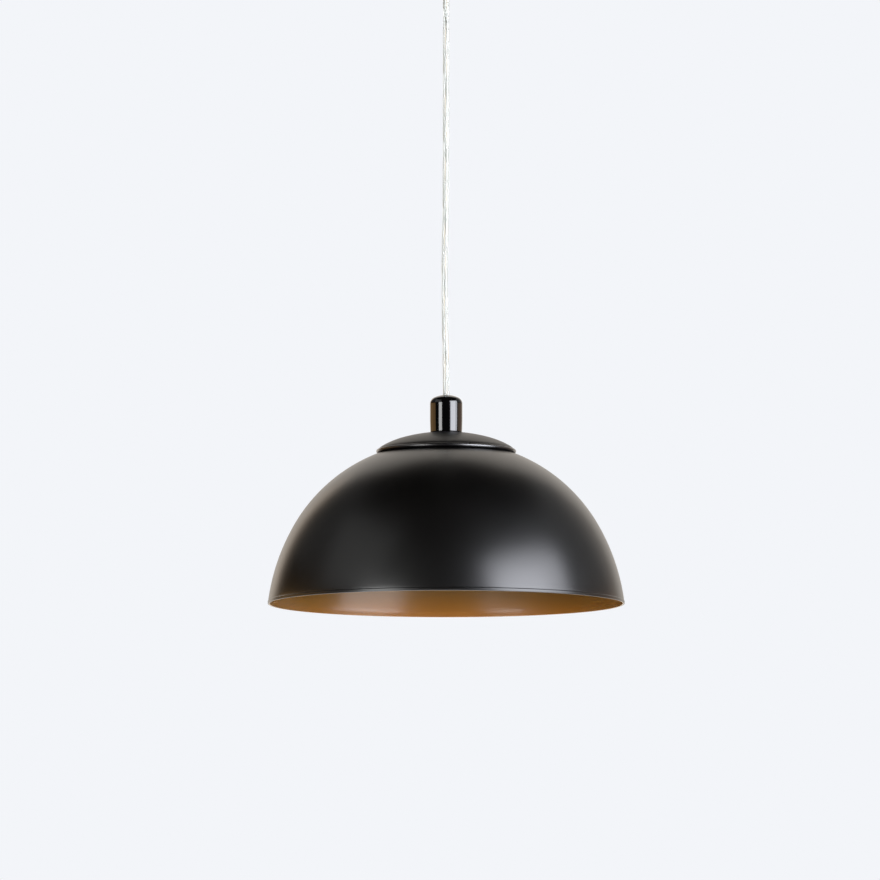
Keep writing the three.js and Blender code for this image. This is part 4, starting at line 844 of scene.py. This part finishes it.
def make_holder_skirt():
    """The screwed skirt: grip flutes round its side and a rounded mouth below."""
    outer, top, foot = high("holder_skirt", 0), high("holder_skirt"), low("holder_skirt")
    bore, ledge = outer - HOLDER_WALL, low("holder_insert") - CLEAR
    flute_top, flute_foot, edge = top - FLUTE_TOP, foot + FLUTE_FOOT, 0.4
    section = [
        (bore, top), (outer - edge, top), (outer, top - edge), (outer, flute_top), (outer, flute_foot),
        *arc((outer - MOUTH_EDGE, foot + MOUTH_EDGE), MOUTH_EDGE, 0, -90, 9),
        (MOUTH_R + edge, foot), (MOUTH_R, foot + edge), (MOUTH_R, foot + HOLDER_WALL),
        (bore - LEDGE, foot + HOLDER_WALL), (bore - LEDGE, ledge), (bore, ledge),
    ]
    shape = taken_up(turned("holder_skirt_fluted", section, steps=FLUTES * FLUTE_FACES))
    flutes = []
    for face in shape.faces:
        x, y, z = face.calc_center_median() / MM
        column = math.floor(math.degrees(math.atan2(y, x)) % 360 / 360 * FLUTES * FLUTE_FACES)
        on_side = math.hypot(x, y) > outer - NEAR and flute_foot < z < flute_top
        if on_side and column % FLUTE_FACES < FLUTE_FACES / 2:
            flutes.append(face)
    bmesh.ops.inset_region(shape, faces=flutes, thickness=FLUTE_EDGE * MM, depth=-FLUTE_DEEP * MM,
                           use_even_offset=True, use_boundary=True)
    wear(finish_mesh(shape, "holder_skirt_fluted", 25), "black_plastic", "lamp", "holder_skirt")


make_holder_dome()
make_holder_skirt()


# ---- E27 thread: shell and bulb

E27_PITCH = 3.629
SHELL_SHEET = 0.4
SHELL_CREST_R = 13.35
SHELL_ROOT_R = 12.45
SHELL_FLANGE_R = 7.5
SHELL_PLAIN = 1.2  # plain stretch over the shell's thread
CAP_CREST_R = 13
CAP_ROOT_R = 12.1
CAP_SHOULDER = 1.5
TIP_R = 4.5
CAP_SKIRT = 4.2  # plain stretch between the cap's thread and the collar
THREAD_PHASE = low("screw_shell")
GLOBE_R = high("bulb_globe", 0)
SEAT_ANGLE = 26  # degrees above the globe's equator, at the collar
GLOBE_WALL = 1
COLLAR_WALL = 1.4
COLLAR_SWELL = 1.2  # above 1, the collar stays slim for longer


def make_shell():
    """The holder's brass screw shell: sheet pressed to the thread, with a flange over the top."""
    foot, top, outer = low("screw_shell"), high("screw_shell"), SHELL_CREST_R + SHELL_SHEET
    plain = top - SHELL_PLAIN
    start, stop = foot + 1, plain - 0.6
    shell = threaded("pressed_screw_shell", (SHELL_ROOT_R + SHELL_SHEET, outer, E27_PITCH),
                     start, stop, [(outer - 0.1, foot + 0.4), (outer, foot)],
                     [(outer, plain), (outer, top - 0.5), (outer - 0.15, top - 0.15),
                      (outer - 0.5, top), (SHELL_FLANGE_R, top)],
                     THREAD_PHASE, SHELL_SHEET, sides=96, points=12)
    wear(shell, "brass", "lamp", "screw_shell")


def make_bulb_cap():
    """The bulb's nickelled cap: sheet rolled to the thread, with a plain skirt and a shoulder."""
    foot, top = low("bulb_cap"), high("bulb_cap")
    shoulder, skirt = top - CAP_SHOULDER, foot + CAP_SKIRT
    cap = threaded("bulb_screw_cap", (CAP_ROOT_R, CAP_CREST_R, E27_PITCH), skirt, shoulder - 0.5,
                   [(CAP_ROOT_R + 0.2, skirt - 0.7), (CAP_CREST_R, skirt - 1.6), (CAP_CREST_R, foot)],
                   [(CAP_ROOT_R, shoulder), (CAP_CREST_R - CAP_SHOULDER, top),
                    (CAP_CREST_R - CAP_SHOULDER - SHELL_SHEET, top)],
                   THREAD_PHASE, SHELL_SHEET, sides=96, points=12)
    wear(cap, "nickel", "bulb", "bulb_cap")


def make_bulb_end():
    """The black glass insulator in the cap's end, and the soldered centre contact on it."""
    foot, top = low("bulb_insulator"), high("bulb_insulator")
    section = [(0, top), (TIP_R, top), (TIP_R + 1.2, top - 0.2),
               *arc((CAP_CREST_R - CAP_SHOULDER - 0.7, foot + 0.7), 0.7, 70, 0, 4),
               (CAP_CREST_R - CAP_SHOULDER, foot), (0, foot)]
    wear(turned("insulator_glass", section, steps=64), "black_plastic", "bulb", "bulb_insulator")
    foot, top = low("bulb_tip"), high("bulb_tip")
    half = (top - foot) / 2
    angles = [math.radians(90 * i / 10) for i in range(11)]
    solder = [(TIP_R * math.sin(a), foot + half + half * math.cos(a)) for a in angles]
    section = [*solder, (TIP_R, foot + 0.2), (TIP_R - 0.2, foot), (0, foot)]
    wear(turned("centre_solder", section, steps=48), "zinc_steel", "bulb_tip", "bulb_tip")


def make_collar():
    """The bulb's moulded collar, which swells from the cap out to the globe."""
    top, foot = high("bulb_collar"), low("bulb_collar")
    top_r, foot_r = CAP_CREST_R + CLEAR, GLOBE_R * math.cos(math.radians(SEAT_ANGLE))

    def swell(depth, steps=20):
        shares = [i / steps for i in range(steps + 1)]
        return [(top_r - depth + (foot_r - top_r) * math.sin(share * math.pi / 2) ** COLLAR_SWELL,
                 top + (foot - top) * share) for share in shares]

    outer, inner = swell(0), swell(COLLAR_WALL)
    edge = 0.3
    section = [(outer[0][0] - edge, top), (outer[0][0], top - edge), *outer[1:], *reversed(inner)]
    wear(turned("bulb_collar_moulded", section, steps=96), "white_nylon", "bulb", "bulb_collar")


def make_globe():
    """The bulb's opal globe, open at the top where the collar holds it."""
    centre = (0, low("bulb_globe") + GLOBE_R)
    outer = arc(centre, GLOBE_R, -90, SEAT_ANGLE, 44)
    inner = arc(centre, GLOBE_R - GLOBE_WALL, SEAT_ANGLE, -90, 44)
    section = [(0, outer[0][1]), *outer[1:], *inner[:-1], (0, inner[-1][1])]
    wear(turned("opal_globe", section, steps=96), "opal_glass", "bulb", "bulb_globe")


make_shell()
make_bulb_cap()
make_bulb_end()
make_collar()
make_globe()


# ---- canopy and gland

CANOPY_SHEET = 1
CANOPY_EDGE = 5
EAR_SCREW_R = 2
EAR_SCREW_PITCH = 0.7
KNOB_H = 2.6
KNURLS = 30
KNURL_EDGE = 0.08
KNURL_DEEP = 0.14
FLANGE_R = 9
FLANGE_H = 4.4
NOSE_TOP_R = 7.5
NOSE_R = 5


def make_canopy():
    """The spun canopy, a plain cup with a rolled corner and a hole on each side for its screws."""
    outer, floor, inset = high("canopy", 0), low("canopy"), 0.2
    corner, hole = (outer - CANOPY_EDGE, floor + CANOPY_EDGE), TUBE_R + CLEAR
    section = [
        (hole, floor), *arc(corner, CANOPY_EDGE, -90, 0, 14), (outer, -inset), (outer - inset, 0),
        (outer - CANOPY_SHEET + inset, 0), (outer - CANOPY_SHEET, -inset),
        *arc(corner, CANOPY_EDGE - CANOPY_SHEET, 0, -90, 12), (hole, floor + CANOPY_SHEET),
    ]
    screws, reach = middle("canopy_screw_left"), outer + PAST
    cup = cut(turned("canopy_cup", section, steps=160),
              rod(EAR_SCREW_R + CLEAR, (-reach, 0, screws), (reach, 0, screws), 32))
    wear(cup, "satin_black_steel", "ceiling_set", "canopy")


def make_canopy_screw(side):
    """A knurled thumb screw through the canopy's side into its bracket."""
    node = f"canopy_screw_{side}"
    knob_r, length = high(node, 1), high(node, 0) - low(node, 0)
    under, edge, rise = length - KNOB_H, 0.8, 0.15
    above = [(EAR_SCREW_R, under), (knob_r - rise, under), (knob_r, under + rise),
             (knob_r, length - edge), (knob_r - 0.25, length - 0.35), (knob_r - edge, length)]
    shape = taken_up(threaded(
        node + "_knurled", (EAR_SCREW_R * SCREW_ROOT, EAR_SCREW_R, EAR_SCREW_PITCH), 0.4, under - 1,
        [(EAR_SCREW_R * 0.7, 0)], above, sides=KNURLS * 2, points=4))
    band = [f for f in shape.faces
            if under + rise < f.calc_center_median().z / MM < length - edge
            and abs(f.normal.z) < 0.1]
    bmesh.ops.inset_individual(shape, faces=band, thickness=KNURL_EDGE * MM, depth=-KNURL_DEEP * MM)
    knob = finish_mesh(shape, node + "_knurled", 25)
    start, turn = (high(node, 0), -90) if side == "left" else (low(node, 0), 90)
    moved(knob, (start, 0, middle(node)), turn, "Y")
    wear(knob, "gloss_black_metal", "ceiling_set", node)


def make_gland():
    """The moulded cord gland: a threaded stem through the canopy, a flange and a tapered nose."""
    top, mouth = high("gland_body"), low("gland_body")
    flange_top = low("canopy") - CLEAR
    flange_foot, bore, edge = flange_top - FLANGE_H, CORD_R + CLEAR, 0.5
    root, in_bore = TUBE_R - TUBE_THREAD, (bore, mouth + 3)
    below = [
        (root, flange_top), (FLANGE_R - edge, flange_top), (FLANGE_R, flange_top - edge),
        *arc((FLANGE_R - edge, flange_foot + edge), edge, 0, -90, 5), (NOSE_TOP_R, flange_foot),
        *arc((NOSE_R - 1, mouth + 1), 1, 15, -90, 8), (bore + 0.7, mouth), (bore + 0.1, mouth + 0.8),
        (bore, mouth + 2), in_bore,
    ]
    body = threaded("cord_gland", (root, TUBE_R, TUBE_PITCH), flange_top + 0.8, top - 0.4, below,
                    [(root, top), (bore, top), in_bore], sides=48, points=4)
    screw = middle("gland_screw")
    gland = cut(body, rod(GRUB_R + CLEAR, (0, 0, screw), (FLANGE_R + PAST, 0, screw)))
    wear(gland, "black_plastic", "ceiling_set", "gland_body")


make_canopy()
make_canopy_screw("left")
make_canopy_screw("right")
make_gland()


# ---- terminal block

FERRULE_R = 2.5
FERRULE_BORE_R = 1.5
POLE_SCREW_R = 1.3
CORE_R = 1.1


def make_pole(pole):
    """A brass ferrule with its two clamping screws."""
    node = f"terminal_ferrule_{pole}"
    start, stop = low(node, 0), high(node, 0)
    y, z, edge, length = middle(node, 1), middle(node), 0.2, stop - start
    section = [(FERRULE_BORE_R, 0), (FERRULE_R - edge, 0), (FERRULE_R, edge),
               (FERRULE_R, length - edge), (FERRULE_R - edge, length), (FERRULE_BORE_R, length)]
    tube = moved(turned(node + "_turned", section, steps=40), (start, y, z), 90, "Y")
    holes = []
    for end in ("supply", "lamp"):
        screw = f"terminal_screw_{pole}_{end}"
        x = middle(screw, 0)
        holes.append(rod(POLE_SCREW_R + CLEAR, (x, y, z), (x, y, z - FERRULE_R - PAST)))
        make_screw(screw, "zinc_steel", "ceiling_set", POLE_SCREW_R,
                   high(screw) - low(screw) - (FERRULE_R - CORE_R + CLEAR))
    wear(cut(tube, *holes), "brass", "ceiling_set", node)


for pole in ("earth", "neutral", "live"):
    make_pole(pole)


# ---- small hidden pieces as they are

PLAIN_PIECES = {
    "lamp": {
        "clamp_body": "black_plastic", "toothed_washer": "zinc_steel", "holder_insert": "porcelain",
        "shell_rivet_front": "brass", "shell_rivet_back": "brass", "centre_contact": "brass",
        "side_contact": "brass", "earth_tag_lower": "nickel", "core_live_lower": "core_brown",
        "core_neutral_lower": "core_blue", "core_earth_lower": "core_green", "cord_tail": "clear_pvc",
    },
    "ceiling_set": {
        "ceiling_bracket": "zinc_steel", "gland_washer": "zinc_steel",
        "terminal_housing": "white_nylon", "earth_tag_upper": "nickel",
        "core_live_upper": "core_brown", "core_neutral_upper": "core_blue",
        "core_earth_upper": "core_green", "earth_link": "core_green",
    },
    "bulb": {"bulb_board": "porcelain"},
}
for body, nodes in PLAIN_PIECES.items():
    for node, slot in nodes.items():
        dress(node, slot, body)


# ---- studio

PALE = "#F3F5F9"
AIM = Vector((0, 0, -0.5))


def set_world():
    """A pale room to the camera and through glass, a dark one in gloss, and elsewhere a soft fill."""
    world = bpy.data.worlds.new("studio")
    world.use_nodes = True
    scene.world = world
    tree = world.node_tree
    tree.nodes.clear()
    rays = add(tree, "LightPath").outputs
    seen = add(tree, "Math", {0: rays["Is Camera Ray"], 1: rays["Is Transmission Ray"]},
               operation="MAXIMUM")
    fill = add(tree, "Background", {"Color": linear("#E4E0DA"), "Strength": 0.2})
    dark = add(tree, "Background", {"Color": linear("#E4E0DA"), "Strength": 0.015})
    pale = add(tree, "Background", {"Color": linear(PALE)})
    unseen = add(tree, "MixShader", {0: rays["Is Glossy Ray"], 1: fill, 2: dark})
    add(tree, "OutputWorld", {"Surface": add(tree, "MixShader", {0: seen, 1: unseen, 2: pale})})


def studio_paper(name, shadow):
    """Pale paper: plain and even to the camera, apart from a share that takes light and shadow,
    and a warm sheet in gloss."""
    material = bpy.data.materials.new(name)
    material.use_nodes = True
    tree = material.node_tree
    tree.nodes.clear()
    rays = add(tree, "LightPath").outputs
    lit = add(tree, "BsdfDiffuse", {"Color": linear("#B9BABC")})
    pale = add(tree, "Emission", {"Color": linear(PALE)})
    warm = add(tree, "Emission", {"Color": linear("#F6EEE4"), "Strength": 1.15})
    seen = add(tree, "MixShader", {0: shadow, 1: pale, 2: lit})
    through = add(tree, "MixShader", {0: rays["Is Transmission Ray"], 1: lit, 2: pale})
    direct = add(tree, "MixShader", {0: rays["Is Camera Ray"], 1: through, 2: seen})
    add(tree, "OutputMaterial", {
        "Surface": add(tree, "MixShader", {0: rays["Is Glossy Ray"], 1: direct, 2: warm})})
    return material


def sheet_of_paper(name, material, corners):
    """A flat sheet of studio paper between its corners, in metres."""
    shape = bmesh.new()
    shape.faces.new([shape.verts.new(corner) for corner in corners])
    paper = finish_mesh(shape, name)
    paper.data.materials.append(material)


def set_stage():
    """A wide floor well below the lamp, and a backdrop behind it that its top face mirrors."""
    floor, back, side, top, half = -5.8, 7.0, 9.0, 11.5, 4.4
    floor_paper = studio_paper("floor_paper", shadow=0.04)
    backdrop_paper = studio_paper("backdrop_paper", shadow=0)
    sheet_of_paper("floor", floor_paper, [(-side, -side, floor), (side, -side, floor),
                                          (side, back, floor), (-side, back, floor)])
    sheet_of_paper("backdrop", backdrop_paper, [(-half, back, floor), (half, back, floor),
                                                (half, back, top), (-half, back, top)])


def softbox(name, azimuth, elevation, distance, width, height, power, colour="#FFFFFF"):
    """A soft rectangular lamp that faces the shade, in degrees, metres and watts. Azimuth 0 is in
    front and 90 to the right."""
    data = bpy.data.lights.new(name, "AREA")
    data.shape = "RECTANGLE"
    data.size, data.size_y = width, height
    data.energy = power
    data.color = linear(colour)[:3]
    lamp = bpy.data.objects.new(name, data)
    turn, tilt = math.radians(azimuth), math.radians(elevation)
    away = Vector((math.sin(turn) * math.cos(tilt), -math.cos(turn) * math.cos(tilt), math.sin(tilt)))
    lamp.location = AIM + away * distance
    lamp.rotation_euler = away.to_track_quat("Z", "Y").to_euler()
    lamp.visible_camera = False
    scene.collection.objects.link(lamp)
    return lamp


def light_only(lamp, piece):
    """Keeps a lamp's light to one piece."""
    lit = bpy.data.collections.new(lamp.name + "_lights")
    lit.objects.link(piece)
    lamp.light_linking.receiver_collection = lit


set_world()
set_stage()
# [name, azimuth, elevation, distance, width, height, watts, colour]
LAMPS = [
    ["key_softbox", 56, 14, 3, 3.1, 2.2, 124, "#F4F6FF"],
    ["key_core", 51, 8, 2.9, 1.8, 1.7, 32, "#F4F6FF"],
    ["key_low", 54, -18, 3, 2.4, 1.2, 21, "#F4F6FF"],
    ["left_low", -31, -14, 3, 0.7, 1, 1.8],
    ["left_strip", -42, 2, 3, 1.2, 1.15, 24],
    ["left_glow", -68, 32, 3, 2.4, 1.8, 6],
    ["front_low", 2, -2.7, 4, 2.6, 0.36, 130, "#FFC27A"],
    ["below_fill", 180, -68, 4, 3, 3, 115, "#FFFAF2"],
    ["left_brown", -108, 3.5, 3, 3, 0.6, 5, "#FFCB8B"],
    ["right_brown", 116, 3.5, 3, 3, 0.6, 3, "#FFDDC3"],
    ["left_shoulder", -117, 36, 3.2, 2, 2, 1.6],
    ["right_shoulder", 120, 30, 3.2, 2.4, 2.2, 4.5],
    ["left_back_warm", -149, 12, 3.2, 0.8, 2.6, 3.8, "#FFE0BE"],
    ["right_back", 140, 12, 3.2, 0.9, 2.6, 2.2, "#FFF0E0"],
]
lamps = {settings[0]: softbox(*settings) for settings in LAMPS}
# The low warm lamp in front glows on the bronze inside the shade, and shows in no gloss.
lamps["front_low"].visible_glossy = False
light_only(lamps["front_low"], shade_dome)

scene.view_settings.view_transform = "Standard"
